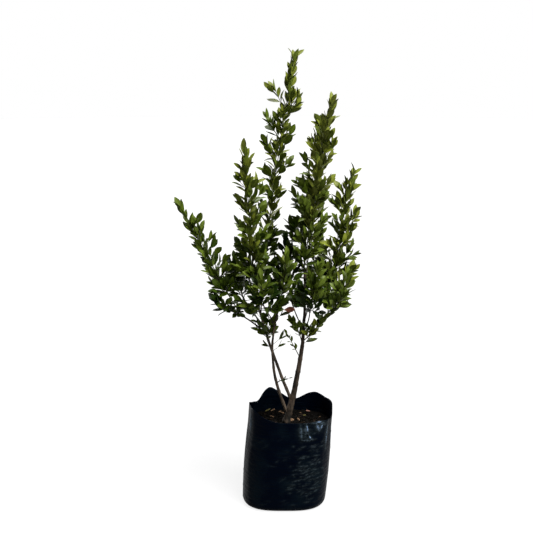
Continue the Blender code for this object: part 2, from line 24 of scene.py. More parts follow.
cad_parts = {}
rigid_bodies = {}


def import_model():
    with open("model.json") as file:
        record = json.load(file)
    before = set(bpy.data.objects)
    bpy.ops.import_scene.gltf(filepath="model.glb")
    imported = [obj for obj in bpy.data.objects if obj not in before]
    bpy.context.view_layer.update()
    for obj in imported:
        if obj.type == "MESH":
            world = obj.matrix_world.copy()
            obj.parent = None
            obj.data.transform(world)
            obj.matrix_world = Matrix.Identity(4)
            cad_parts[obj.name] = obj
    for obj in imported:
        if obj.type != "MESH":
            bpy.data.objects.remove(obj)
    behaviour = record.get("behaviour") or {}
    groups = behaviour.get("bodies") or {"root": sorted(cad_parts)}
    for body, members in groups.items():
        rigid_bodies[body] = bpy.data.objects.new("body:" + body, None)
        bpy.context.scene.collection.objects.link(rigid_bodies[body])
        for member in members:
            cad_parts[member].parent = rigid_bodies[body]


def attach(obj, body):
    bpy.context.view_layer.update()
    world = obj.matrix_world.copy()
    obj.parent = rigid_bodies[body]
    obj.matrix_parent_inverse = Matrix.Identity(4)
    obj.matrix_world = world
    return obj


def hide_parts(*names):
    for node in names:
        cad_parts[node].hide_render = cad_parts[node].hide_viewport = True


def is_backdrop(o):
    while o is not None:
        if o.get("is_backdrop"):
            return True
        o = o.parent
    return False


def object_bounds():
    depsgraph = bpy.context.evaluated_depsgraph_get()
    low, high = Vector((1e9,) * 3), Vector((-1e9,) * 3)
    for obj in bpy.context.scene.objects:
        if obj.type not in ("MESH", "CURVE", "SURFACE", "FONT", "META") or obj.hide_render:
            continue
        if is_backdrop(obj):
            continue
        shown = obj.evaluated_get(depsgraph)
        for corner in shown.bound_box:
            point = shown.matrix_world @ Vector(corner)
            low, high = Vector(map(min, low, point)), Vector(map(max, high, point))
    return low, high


for item in list(bpy.data.objects):
    bpy.data.objects.remove(item, do_unlink=True)
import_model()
cad_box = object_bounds()


def print_box(name, box):
    print(name, "box, m:", [tuple(round(value, 3) for value in corner) for corner in box])


print_box("CAD", cad_box)

# %% [markdown]
# ## Colours and nodes
#
# Colours are sRGB hex values, as a colour picker shows them, and one function makes them linear for the
# shaders. One more adds a node with its settings and links, so each material reads as a list of nodes.

# %% Colour and node helpers
def linear(hex_colour, strength=1.0):
    """The linear RGBA of an sRGB hex colour, made darker or lighter by the strength."""
    channels = [int(hex_colour[i:i + 2], 16) / 255 for i in (1, 3, 5)]
    bright = [c / 12.92 if c <= 0.04045 else ((c + 0.055) / 1.055) ** 2.4 for c in channels]
    return (*[c * strength for c in bright], 1.0)


def add(tree, kind, inputs=(), **settings):
    """Add a node with its own settings. Each input is a constant or another node's output."""
    node = tree.nodes.new(kind)
    for name, value in settings.items():
        setattr(node, name, value)
    for name, value in dict(inputs).items():
        if isinstance(value, bpy.types.NodeSocket):
            tree.links.new(value, node.inputs[name])
        else:
            node.inputs[name].default_value = value
    return node


def calculate(tree, operation, *values):
    """The result of a math node, from numbers or other nodes' outputs."""
    return add(tree, "ShaderNodeMath", dict(enumerate(values)), operation=operation).outputs[0]


def rescale(tree, value, start, end, first=0.0, last=1.0, **settings):
    """A factor that runs from first to last while the value runs from start to end."""
    return add(tree, "ShaderNodeMapRange", {"Value": value, "From Min": start, "From Max": end,
                                            "To Min": first, "To Max": last}, **settings).outputs[0]


def blend_colours(tree, factor, first, second):
    """A colour mix. Each colour is a hex value's linear form or another node's output."""
    return add(tree, "ShaderNodeMix", {0: factor, 6: first, 7: second}, data_type="RGBA").outputs[2]


def start_material(name, roughness, ior=1.5, specular=0.5):
    """A material with one shader, whose constants are set on the shader's own sockets."""
    material = bpy.data.materials.new(name)
    material.use_nodes = True
    tree = material.node_tree
    tree.nodes.clear()
    shader = add(tree, "ShaderNodeBsdfPrincipled", {"Roughness": roughness, "IOR": ior, "Metallic": 0.0,
                                                    "Specular IOR Level": specular})
    add(tree, "ShaderNodeOutputMaterial", {"Surface": shader.outputs[0]})
    return material, tree, shader


def patches(tree, size, low=0.35, high=0.65, stretch=(1, 1, 1), detail=3.0):
    """Soft patches of about this size, as a factor from 0 to 1."""
    place = add(tree, "ShaderNodeTexCoord")
    scaled = add(tree, "ShaderNodeMapping", {"Scale": stretch, "Vector": place.outputs["Object"]})
    noise_inputs = {"Vector": scaled.outputs[0], "Scale": 1 / size, "Detail": detail}
    cloud = add(tree, "ShaderNodeTexNoise", noise_inputs)
    return rescale(tree, cloud.outputs[0], low, high)


def finish_surface(tree, shader, colour, height, depth, strength=0.6):
    """Give the shader its colour, and relief too fine to model. The depth is its full swing."""
    relief = add(tree, "ShaderNodeBump", {"Strength": strength, "Distance": depth, "Height": height})
    tree.links.new(relief.outputs[0], shader.inputs["Normal"])
    tree.links.new(colour, shader.inputs["Base Color"])


# %% [markdown]
# ## Leaf cuticle
#
# A euonymus leaf is tough and waxy. Wax gives the upper side a dull shine, and the flesh under it is
# mottled. The midrib is paler than the blade, and side veins leave it at a slant. The underside has less
# wax, so it is matt; on most tints its colour is also a little darker, painted shade that holds back the
# light the glowing floor throws up. Young leaves at the tips are yellower than the old ones inside, so
# each spray gets one of a few plain tints, and one withered leaf is rust brown. The tints carry painted
# light and shade too: sprays on the lamp's side get lighter ones, sprays deep in the crown darker ones.
#
# Noise gives the mottling. The veins follow a leaf's length and width, so they come from its UV map.

# %% Leaf materials
LEAF_IOR = 1.42  # plant wax
# On most tints the underside is a little darker than the upper side: painted shade.
LEAF_TINTS = {  # upper side, underside
    "young": ("#464c17", "#3c4118"),
    "olive": ("#434914", "#384113"),
    "mature": ("#323c0f", "#2d380a"),
    "deep": ("#1d2704", "#1a2605"),
    "shade": ("#0d1702", "#0d1a03"),
    "rust": ("#6a3f2e", "#5c3c2e"),
}


def leaf_pattern(tree, rib_edges=(0.05, 0.015), veins=7, slant=0.5):
    """How near the midrib is, from 0 to 1, and the height of the side veins on each half."""
    uv = add(tree, "ShaderNodeUVMap", uv_map="leaf")
    parts = add(tree, "ShaderNodeSeparateXYZ", {0: uv.outputs[0]})
    away = calculate(tree, "ABSOLUTE", calculate(tree, "SUBTRACT", parts.outputs[0], 0.5))
    along = calculate(tree, "SUBTRACT", parts.outputs[1], calculate(tree, "MULTIPLY", away, slant))
    waves = calculate(tree, "SINE", calculate(tree, "MULTIPLY", along, 2 * math.pi * veins))
    return rescale(tree, away, *rib_edges), waves


def make_leaf_material(name, colour, roughness, specular, mottle=0.007, tones=(0.78, 1.12), rib_tone=1.55):
    """A side of a leaf. The tones are strengths of its colour."""
    material, tree, shader = start_material(name, roughness, LEAF_IOR, specular)
    rib, veins = leaf_pattern(tree)
    mottled = blend_colours(tree, patches(tree, mottle), *[linear(colour, tone) for tone in tones])
    ribbed = blend_colours(tree, rib, mottled, linear(colour, rib_tone))
    finish_surface(tree, shader, ribbed, veins, depth=0.00012, strength=0.35)
    return material


leaf_materials = {}
for tint, (upper, under) in LEAF_TINTS.items():
    leaf_materials[tint] = [
        make_leaf_material(f"leaf_{tint}_waxed_face", upper, roughness=0.42, specular=0.09),
        make_leaf_material(f"leaf_{tint}_matt_back_painted_shade", under, roughness=0.62, specular=0.02)]
print("leaf tints:", ", ".join(leaf_materials))

# %% [markdown]
# ## Bark and twig skin
#
# The trunk's bark is darker and browner than the grey-brown stems, and both have short cracks that run
# up the stem. The boughs are younger, and the youngest twigs are still green. All are dry and matt. A
# flat colour would look painted, so noise stretched along the limb sets the tone and the finest relief.
# The larger cracks are modelled further down.

# %% Bark materials
def make_bark(name, dark, light, cracks, roughness=0.85):
    """Bark with fine cracks along the limb, of this size across it."""
    material, tree, shader = start_material(name, roughness, specular=0.1)
    streaks = patches(tree, cracks, low=0.3, high=0.62, stretch=(1, 1, 0.16), detail=6.0)
    clouds = patches(tree, size=0.03, high=0.7)
    colour = blend_colours(tree, calculate(tree, "MULTIPLY", streaks, clouds), linear(dark), linear(light))
    finish_surface(tree, shader, colour, streaks, depth=0.0004)
    return material


trunk_bark = make_bark("trunk_bark_brown", "#060503", "#352b22", cracks=0.0065)
stem_bark = make_bark("stem_bark_grey_brown", "#0d0a07", "#453a2f", cracks=0.0055)
bough_bark = make_bark("bough_bark_brown", "#0b0906", "#302820", cracks=0.0045)
twig_skin = make_bark("twig_skin_brown", "#110f08", "#252214", cracks=0.0015, roughness=0.7)
green_skin = make_bark("twig_skin_green", "#1a2009", "#2c3412", cracks=0.0015, roughness=0.55)
print("barks:", trunk_bark.name, stem_bark.name, bough_bark.name, twig_skin.name, green_skin.name)

# %% [markdown]
# ## Planter film and potting mix
#
# The bag is blown polythene film, coloured with carbon black, with a dull gloss tinted blue: a painted
# reflection of a cool sky. Along its creases the film is painted grey in broken lines, and pale blue
# where a fold is sharp: painted highlights, where the creases would catch the lamp. Noise alone couldn't
# put those lines on the creases, so the bag's mesh carries how bright the painted highlight is at each
# place. The mix is composted bark: dark crumbs, coloured nearly black as painted shade for the shadow
# inside the bag, with some chips that have dried to tan and pink-brown.

# %% Film and mix materials
# The film's gloss is tinted blue: a painted reflection of a cool sky.
FILM_SKY_REFLECTION_TINT = "#c6d6f2"
FILM_BLACKS = ("#000104", "#020508")
# Painted highlights along the creases: a dim grey where the film is only crinkled, a pale blue where it is
# folded sharply.
CREASE_DIM_HIGHLIGHT = "#222827"  # where the film is only crinkled
CREASE_BRIGHT_HIGHLIGHT = "#4b5c74"  # where it is folded sharply


def make_film(sharpness=3.2):
    """Black film with painted highlights where the mesh's painted crease highlight, from 0 to 1, is high."""
    material, tree, shader = start_material("black_polythene_film", roughness=0.36, ior=1.51, specular=0.016)
    # Painted reflection: the gloss takes the blue tint of a cool sky.
    shader.inputs["Specular Tint"].default_value = linear(FILM_SKY_REFLECTION_TINT)
    scuffs = patches(tree, size=0.05, low=0.45, high=0.75, detail=8.0)
    colour = blend_colours(tree, scuffs, *map(linear, FILM_BLACKS))
    # The painted crease highlights, broken into short lines, and at full strength only where the fold is
    # sharpest.
    crease_highlight = add(tree, "ShaderNodeAttribute", attribute_name="crease_highlight")
    broken = patches(tree, size=0.006, low=0.3, high=0.55, stretch=(1, 1, 2), detail=4.0)
    shown = calculate(tree, "MULTIPLY", crease_highlight.outputs["Fac"], broken)
    colour = blend_colours(tree, shown, colour, linear(CREASE_DIM_HIGHLIGHT))
    colour = blend_colours(tree, calculate(tree, "POWER", shown, sharpness), colour, linear(CREASE_BRIGHT_HIGHLIGHT))
    wrinkles = patches(tree, size=0.016, low=0.2, high=0.8, stretch=(0.5, 0.5, 2.4), detail=5.0)
    finish_surface(tree, shader, colour, wrinkles, depth=0.003)
    return material


def make_crumb(name, dark, light, grain=0.003, roughness=0.95):
    """Bark and compost: dull, rough, and grained by its fibres."""
    material, tree, shader = start_material(name, roughness, specular=0.02)
    fibres = patches(tree, grain, low=0.3, high=0.7, detail=8.0)
    colour = blend_colours(tree, fibres, linear(dark), linear(light))
    finish_surface(tree, shader, colour, fibres, depth=0.0008)
    return material


film = make_film()
# The mix and the dark chips are coloured nearly black: partly the real colour of dark compost, partly
# painted shade for the shadow inside the bag.
compost = make_crumb("composted_bark_mix_painted_shade", "#010100", "#030202", grain=0.004)
chip_tan = make_crumb("bark_chip_tan", "#271d15", "#4a3a2b")
chip_pink = make_crumb("bark_chip_pink_brown", "#2c1e19", "#553e35")
chip_dark = make_crumb("bark_chip_dark_painted_shade", "#070503", "#130c08")
chip_green = make_crumb("fallen_leaf_yellow_green", "#201f0d", "#37331c", grain=0.005, roughness=0.8)
print("film and mix:", film.name, compost.name)

# %% [markdown]
# ## The plant's plan
#
# The same plan as the CAD source: a trunk, two more stems and thirteen boughs, each a curve with one
# bend, and twenty masses of foliage round their leaders. A mass lists its leader, the length and slant
# of its side shoots, and the strong shoots that stand out of the crown's outline. Fine twigs reach
# points that a solid's coarse leaves can't, so a few tips and strong shoots differ by some millimetres.

# %% Limbs and masses
SEED = 22
noise.seed_set(SEED)  # without it the noise would start from the clock
SOIL_LEVEL = 0.206
GAP = 0.0003  # between a limb's end and the leader that goes on from it
UP = Vector((0, 0, 1))
TRUNK = ([(0.006, 0.0, SOIL_LEVEL), (0.062, 0.002, 0.405), (0.049, 0.0, 0.61)], 0.0092, 0.0022)
TRUNK_TAPER = 1.25
ROOT_FLARE = 0.0015
ROOT_FLARE_HEIGHT = 0.014
# Name, parent, share of the parent where it leaves, bend, tip, radius at the foot and at the tip.
LIMBS = [
    ("stem_left", "trunk", 0.05, (-0.055, -0.018, 0.377), (-0.014, -0.032, 0.52), 0.0046, 0.0021),
    ("stem_middle", "trunk", 0.14, (-0.04, 0.0, 0.413), (-0.07, 0.02, 0.527), 0.0044, 0.0026),
    ("bough_low_left", "stem_middle", 0.63, (-0.08, -0.03, 0.488), (-0.118, -0.045, 0.51), 0.0024, 0.0016),
    ("bough_far_left", "bough_low_left", 0.72, (-0.118, -0.03, 0.515), (-0.135, -0.025, 0.545),
     0.0015, 0.0013),
    ("bough_left_shoulder", "stem_middle", 0.72, (-0.082, 0.03, 0.49), (-0.098, 0.035, 0.518),
     0.002, 0.0015),
    ("bough_left", "stem_middle", 0.985, (-0.071, 0.004, 0.552), (-0.074, -0.02, 0.575), 0.0021, 0.0018),
    ("bough_tall", "stem_middle", 0.94, (-0.05, 0.03, 0.55), (-0.05, 0.045, 0.59), 0.0022, 0.0019),
    ("bough_centre", "trunk", 0.62, (0.026, 0.016, 0.495), (0.018, 0.025, 0.525), 0.0018, 0.0014),
    ("bough_right", "trunk", 0.6, (0.096, 0.004, 0.474), (0.118, 0.026, 0.5), 0.0022, 0.0018),
    ("bough_right_shoulder", "bough_right", 0.6, (0.11, -0.03, 0.492), (0.117, -0.046, 0.512),
     0.0016, 0.0013),
    ("bough_right_front", "trunk", 0.6, (0.06, -0.028, 0.478), (0.062, -0.048, 0.512), 0.0018, 0.0014),
    ("bough_front", "stem_left", 0.82, (-0.032, -0.05, 0.5), (-0.044, -0.074, 0.522), 0.0016, 0.0013),
    ("bough_twin", "trunk", 0.93, (0.058, 0.036, 0.605), (0.062, 0.046, 0.64), 0.0018, 0.0015),
    ("bough_back_right", "trunk", 0.66, (0.062, 0.046, 0.5), (0.072, 0.076, 0.532), 0.0018, 0.0014),
    ("bough_back_left", "stem_middle", 0.84, (-0.058, 0.056, 0.51), (-0.054, 0.084, 0.536), 0.0018, 0.0014),
]
# Name, limb, share of the limb where it starts, bend, tip, reach, slant, number of side shoots.
MASSES = [
    ("tall_spire", "bough_tall", 1.0, (-0.036, 0.062, 0.79), (0.024, 0.07, 1.129), 0.048, 48, 13),
    ("left_spire", "bough_left", 1.0, (-0.086, -0.062, 0.755), (-0.096, -0.095, 0.914), 0.05, 50, 12),
    ("right_spire", "trunk", 1.0, (0.079, -0.03, 0.85), (0.109, -0.04, 1.018), 0.062, 46, 14),
    ("far_left_spire", "bough_far_left", 1.0, (-0.176, -0.028, 0.622), (-0.25, -0.03, 0.764), 0.048, 50, 10),
    ("far_right_spire", "bough_right", 1.0, (0.118, 0.06, 0.67), (0.175, 0.07, 0.84), 0.062, 52, 12),
    ("twin_spire", "bough_twin", 1.0, (0.078, 0.082, 0.81), (0.083, 0.09, 0.955), 0.05, 46, 9),
    ("centre_front", "stem_left", 1.0, (-0.006, -0.048, 0.57), (0.004, -0.065, 0.65), 0.064, 80, 9),
    ("centre_back", "bough_centre", 1.0, (0.006, 0.04, 0.59), (0.004, 0.05, 0.665), 0.066, 72, 8),
    ("left_shoulder", "bough_left_shoulder", 1.0, (-0.118, 0.045, 0.56), (-0.126, 0.05, 0.622),
     0.066, 80, 9),
    ("left_low", "bough_low_left", 1.0, (-0.15, -0.055, 0.522), (-0.164, -0.06, 0.54), 0.046, 84, 8),
    ("front_low", "bough_front", 1.0, (-0.056, -0.112, 0.555), (-0.058, -0.13, 0.612), 0.064, 82, 9),
    ("right_shoulder", "bough_right_shoulder", 1.0, (0.138, -0.075, 0.545), (0.15, -0.082, 0.608),
     0.052, 60, 8),
    ("right_front", "bough_right_front", 1.0, (0.068, -0.09, 0.56), (0.078, -0.11, 0.632), 0.064, 72, 8),
    ("back_right", "bough_back_right", 1.0, (0.092, 0.12, 0.575), (0.098, 0.142, 0.652), 0.066, 70, 8),
    ("back_left", "bough_back_left", 1.0, (-0.056, 0.124, 0.575), (-0.062, 0.144, 0.655), 0.066, 70, 8),
    ("low_right_spray", "trunk", 0.54, (0.07, -0.022, 0.452), (0.094, -0.034, 0.488), 0.04, 56, 4),
    ("low_left_spray", "trunk", 0.52, (0.04, -0.014, 0.455), (0.022, -0.03, 0.48), 0.04, 70, 3),
    ("trunk_shoot", "trunk", 0.43, (0.026, -0.012, 0.412), (0.008, -0.02, 0.448), 0.02, 60, 0),
    ("stem_spray", "stem_middle", 0.6, (-0.048, -0.012, 0.44), (-0.03, -0.016, 0.474), 0.042, 60, 4),
    ("low_sprig", "stem_left", 0.3, (-0.008, -0.023, 0.331), (0.01, -0.027, 0.334), 0.016, 60, 0),
]
# Strong shoots: share of the leader, direction, length.
STRONG_SHOOTS = {
    "tall_spire": [(0.57, 200, 0.032), (0.65, 10, 0.05), (0.64, 190, 0.034), (0.71, 168, 0.058),
        (0.74, 12, 0.056), (0.78, 170, 0.06), (0.84, 10, 0.066), (0.87, 168, 0.054)],
    "left_spire": [(0.3, 150, 0.06), (0.62, 10, 0.04), (0.16, 200, 0.05), (0.24, 340, 0.052),
        (0.4, 200, 0.046), (0.44, 350, 0.044), (0.54, 185, 0.036), (0.69, 190, 0.032),
        (0.71, 350, 0.044), (0.79, 340, 0.032), (0.8, 185, 0.032)],
    "right_spire": [(0.28, 172, 0.066), (0.46, 180, 0.07), (0.34, 350, 0.052), (0.55, 170, 0.06),
        (0.58, 0, 0.048), (0.66, 180, 0.054), (0.74, 5, 0.052), (0.88, 170, 0.03)],
    "far_left_spire": [(0.06, 200, 0.05), (0.14, 20, 0.06), (0.42, 20, 0.036), (0.52, 20, 0.03),
        (0.74, 10, 0.028), (0.89, 10, 0.016), (0.96, 30, 0.009)],
    "far_right_spire": [(0.31, 340, 0.07), (0.45, 178, 0.066), (0.49, 340, 0.068), (0.6, 355, 0.062),
        (0.66, 174, 0.06), (0.68, 0, 0.07), (0.8, 180, 0.034), (0.89, 175, 0.024)],
}
LEADER_STRAIGHT = 0.02  # how far a leader runs on in its limb's line
SHORTEST_SHOOT = 0.012
SPACE_WEIGHT = 0.35  # share of its reach that a mass claims
GOLDEN_ANGLE = math.radians(137.5)


def on_path(path, share):
    """A point of the Bezier curve with these control points."""
    points = [Vector(p) for p in path]
    while len(points) > 1:
        points = [a.lerp(b, share) for a, b in zip(points, points[1:])]
    return points[0]


def path_direction(path, share, step=0.001):
    start = max(share - step, 0.0)
    return (on_path(path, min(start + 2 * step, 1.0)) - on_path(path, start)).normalized()


def length_of(points):
    return sum((b - a).length for a, b in zip(points, points[1:]))


limbs = {"trunk": TRUNK}
for name, parent, share, bend, tip, foot_radius, tip_radius in LIMBS:
    limbs[name] = ([on_path(limbs[parent][0], share), bend, tip], foot_radius, tip_radius)
print(len(limbs), "limbs,", len(MASSES), "masses")

# %% [markdown]
# ## Bark relief
#
# A limb is a tube round its curve. A curve object with a bevel would give a smooth tube, so each tube
# is worked out as rings of points instead, and each point is pushed in or out: long cracks, a slight
# wander from side to side, and low swellings where leaves once stood in pairs. The trunk spreads at its
# foot into a few blunt roots.

# %% Tubes and joined pieces
def ring_frames(points):
    """Two directions across the line at each of its points, carried along it without twisting."""
    tangents = [(b - a).normalized() for a, b in zip(points, points[1:])]
    tangents.append(tangents[-1])
    first = tangents[0].orthogonal().normalized()
    frames = []
    for before, tangent in zip([tangents[0], *tangents], tangents):
        first = before.rotation_difference(tangent) @ first
        frames.append((first.copy(), tangent.cross(first)))
    return frames


def ring_faces(rings, sides):
    """The faces between each ring of points and the next one."""
    faces = []
    for start in range(0, (rings - 1) * sides, sides):
        for side in range(sides):
            a, b = start + side, start + (side + 1) % sides
            faces.append((a, b, b + sides, a + sides))
    return faces


def place_object(name, data):
    item = bpy.data.objects.new(name, data)
    bpy.context.scene.collection.objects.link(item)
    return item


class Piece:
    """Points and faces gathered from many small shapes, to become one joined mesh."""

    def __init__(self):
        self.points = []
        self.faces = []
        self.slots = []

    def add_shape(self, points, faces, slot=0):
        start = len(self.points)
        self.points.extend(points)
        self.faces.extend([tuple(start + i for i in face) for face in faces])
        self.slots.extend([slot] * len(faces))

    def add_tube(self, points, radii, sides, relief=None):
        """A closed tube. The relief is how far a point moves out, from its direction and place."""
        rings = []
        for centre, radius, (first, second) in zip(points, radii, ring_frames(points)):
            for side in range(sides):
                angle = 2 * math.pi * side / sides
                out = first * math.cos(angle) + second * math.sin(angle)
                rings.append(centre + out * (radius + (relief(centre, out, radius) if relief else 0.0)))
        caps = [tuple(range(sides))[::-1], tuple(range(len(rings) - sides, len(rings)))]
        self.add_shape(rings, caps + ring_faces(len(points), sides))

    def build(self, name, materials, smooth=True):
        mesh = bpy.data.meshes.new(name)
        mesh.from_pydata([tuple(point) for point in self.points], [], self.faces)
        for material in materials:
            mesh.materials.append(material)
        mesh.polygons.foreach_set("material_index", self.slots)
        mesh.polygons.foreach_set("use_smooth", [smooth] * len(mesh.polygons))
        mesh.update()
        item = place_object(name, mesh)
        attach(item, "root")
        mesh.calc_loop_triangles()
        print(f"{name}: {len(mesh.loop_triangles)} triangles")
        return item


# %% Limbs with bark
RING_STEP = 0.0025


def buttress(centre, out, count=4, turn=0.6, height=0.01, share=0.35):
    """How far the blunt roots stand out of the trunk's foot."""
    around = math.cos(count * math.atan2(out.y, out.x) + turn)
    return share * ROOT_FLARE * math.exp(-(centre.z - SOIL_LEVEL) / height) * around


def crack_relief(name, crack_size=0.006, crack_stretch=0.18, crack_edge=0.3, crack_depth=0.3,
                 node_step=0.034, swelling_size=0.004, swelling_rise=0.1):
    """Cracks, and swellings where leaf pairs once stood. Their depths are shares of the radius."""
    shift = Vector((sum(map(ord, name)), 0, 0))
    foot = on_path(limbs[name][0], 0)

    def relief(centre, out, radius):
        spot = centre + out * radius
        ridge = abs(noise.noise(Vector((spot.x, spot.y, spot.z * crack_stretch)) / crack_size + shift))
        swelling = math.exp(-(((centre - foot).length % node_step) / swelling_size - 1.0) ** 2)
        depth = radius * (swelling_rise * swelling - crack_depth * max(0.0, crack_edge - ridge))
        return depth + (buttress(centre, out) if name == "trunk" else 0.0)
    return relief


def limb_points(name, wander=0.0016, waves=18):
    """Centre line and radii of a limb, with the slight wander of real wood between its two ends."""
    path, foot_radius, tip_radius = limbs[name]
    taper, flare = (TRUNK_TAPER, ROOT_FLARE) if name == "trunk" else (1.0, 0.0)
    length = length_of([on_path(path, i / 16) for i in range(17)])
    count = max(4, round(length / RING_STEP))
    points, radii = [], []
    for share in (i / count for i in range(count + 1)):
        place = on_path(path, share)
        aside = noise.noise_vector(place * waves) * wander * math.sin(math.pi * share)
        points.append(place + Vector((aside.x, aside.y, 0)))
        radii.append(tip_radius + (foot_radius - tip_radius) * (1 - share) ** taper
                     + flare * math.exp(-share * length / ROOT_FLARE_HEIGHT))
    return points, radii


# The limbs of each piece, the sides of their tubes, and the bark.
WOOD = {"trunk_bark": (["trunk"], 28, trunk_bark),
        "stem_bark": (["stem_left", "stem_middle"], 20, stem_bark),
        "bough_bark": ([name for name in limbs if name.startswith("bough")], 14, bough_bark)}
for piece_name, (names, sides, material) in WOOD.items():
    wood = Piece()
    for name in names:
        wood.add_tube(*limb_points(name), sides, crack_relief(name))
    item = wood.build(piece_name, [material])
    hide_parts(*names)

# %% [markdown]
# ## Growing the crown
#
# Each leader carries side shoots set round it by the golden angle, long at its foot and short at its
# top. Every shoot, and the leader itself, has nodes a finger's width apart. Each node has two opposite
# leaves, a quarter turn from the pair below, and in many of its axils a short shoot that repeats the
# pattern with smaller leaves. Leaves point along their shoot, and turn their faces to the light. A
# shoot that would end nearer another mass's leader is left to that mass, as in the solids.

# %% Shoots
def leader_path(limb, share, bend, tip):
    path = limbs[limb][0]
    start = on_path(path, share)
    if share < 1.0:
        return [start, bend, tip]
    direction = path_direction(path, 1)
    start = start + direction * GAP
    return [start, start + direction * LEADER_STRAIGHT, bend, tip]


def shoot_points(foot, direction, length, straight=0.045, bend=0.55, lift=0.44):
    """A shoot's centre line: it leaves the leader at a slant, and a long one turns up to its tip."""
    if length < straight:
        return [foot, foot + direction * length]
    middle = foot + direction * (bend * length)
    return [foot, middle, middle + (direction + UP * lift).normalized() * ((1 - bend) * length)]


def side_shoots(path, reach, slant, count, strong, rng, first=0.03, last=0.92, top_slant=34, shrink=0.85,
                power=1.3, lengths=(0.8, 1.1)):
    """Foot, direction and length of each side shoot, shorter and steeper towards the leader's top."""
    shoots = []
    turn = rng.uniform(0, 2 * math.pi)
    for i in range(count):
        place = first + (last - first) * (i + 0.5) / count
        length = reach * (1 - shrink * place ** power) * rng.uniform(*lengths)
        shoots.append((place, turn + i * GOLDEN_ANGLE, length))
    shoots += [(place, math.radians(angle), length) for place, angle, length in strong]
    for place, angle, length in sorted(shoots):
        spread = math.radians(slant + (top_slant - slant) * place)
        direction = UP * math.cos(spread) + Vector((math.cos(angle), math.sin(angle), 0)) * math.sin(spread)
        if length > SHORTEST_SHOOT:
            yield on_path(path, place), direction, length


leaders = {}
for name, limb, share, bend, tip, reach, *_ in MASSES:
    path = leader_path(limb, share, bend, tip)
    leaders[name] = ([on_path(path, i / 12) for i in range(13)], SPACE_WEIGHT * reach, path)


def owner(point):
    """The mass whose leader is nearest, once its weight is taken off."""
    def distance(name):
        places, weight, _ = leaders[name]
        return min((point - place).length for place in places) - weight
    return min(leaders, key=distance)


# %% Leaves on a shoot
LEAF_LENGTH = 0.0385
CLEARANCE = 0.0046  # between the middles of two leaves
NODE_SPACINGS = (0.0128, 0.0142, 0.0134)  # on a leader, a side shoot and an axil's shoot
NODE_SPREAD = (0.94, 1.06)
LAST_NODE = 0.0006  # from the shoot's end
TURN_SPREAD = 0.3  # past the quarter turn from pair to pair
TIP_SIZES = (0.94, 1.0)  # of the last two pairs, over the rest
HEART_OPENING = 8  # for the two upright leaves that end a shoot
HEART_SIZES = (1.1, 0.66, 0.5)  # over the open pair beside them
SPLAYED_HEART = 0.45
OPENING = (14, 44)  # between a leaf and its shoot, at the tip and at the foot
OPENING_RATE = 2.0
AXIL_SHARES = (0.72, 0.52)  # of nodes with a short shoot, on a leader and a side shoot
BARE_AXILS = (4, 1)  # how many of the last pairs have none yet
AXIL_LENGTHS = (0.012, 0.032)
AXIL_RADII = (0.0006, 0.0004)
AXIL_LEAN = (0.32, 0.75)
AXIL_LIFT = 0.2
AXIL_VIGOUR = 0.84
LIGHT = Vector((0.42, -0.44, 0.79)).normalized()  # towards the main lamp
FACING = Vector((0.25, -0.78, 0.57))  # the open side, to which leaves turn

leaf_rows = {tint: [] for tint in LEAF_TINTS}
twig_rows = []
taken = {}


def is_free(middle):
    """Whether no leaf's middle is within the clearance. A free place is then taken."""
    cell = [math.floor(value / CLEARANCE) for value in middle]
    for near in itertools.product(*[(value - 1, value, value + 1) for value in cell]):
        if any((other - middle).length < CLEARANCE for other in taken.get(near, ())):
            return False
    taken.setdefault(tuple(cell), []).append(middle)
    return True


def set_leaf(root, along, face, length, tint, rng, middle=0.55, aspect=0.395, widths=(0.84, 1.16),
             folds=(0.12, 0.4), curls=(-0.05, 0.24), turning=0.65, lit=(0.2, 1.4)):
    """A leaf from its root, with the way it points and the way its upper side looks.

    Its fold is the rise of each half from the midrib, and its curl how far the tip bends back.
    """
    if not is_free(root + along * (middle * length)):
        return
    face = (face + FACING * turning * rng.uniform(*lit)).normalized()
    face = (face - along * along.dot(face)).normalized()
    width = length * aspect * rng.uniform(*widths)
    leaf_rows[tint].append((root, along, face, length, width, rng.uniform(*folds), rng.uniform(*curls)))


def side_of(direction, turn):
    """A direction across a shoot. Without a turn it lies in the upright plane of the X axis."""
    across = (Vector((1, 0, 0)) - direction * direction.x).normalized()
    return Quaternion(direction, turn) @ across


def set_pair(place, direction, turn, opening, length, tint, rng, swing=9, lift=0.18, lengths=(0.78, 1.12)):
    """Two opposite leaves."""
    for half in (0, math.pi):
        spread = math.radians(opening + rng.uniform(-swing, swing))
        along = direction * math.cos(spread) + side_of(direction, turn + half) * math.sin(spread)
        along = (along + UP * rng.uniform(0.0, lift)).normalized()
        face = (direction - along * direction.dot(along)).normalized()
        set_leaf(place, along, face, length * rng.uniform(*lengths), tint, rng)


def back_along(points, distance):
    """The point this far back from the end of a line, and the line's direction there."""
    for end, start in zip(points[::-1], points[-2::-1]):
        span = (end - start).length
        if distance <= span or start is points[0]:
            way = (end - start).normalized()
            return end - way * min(distance, span), way
        distance -= span


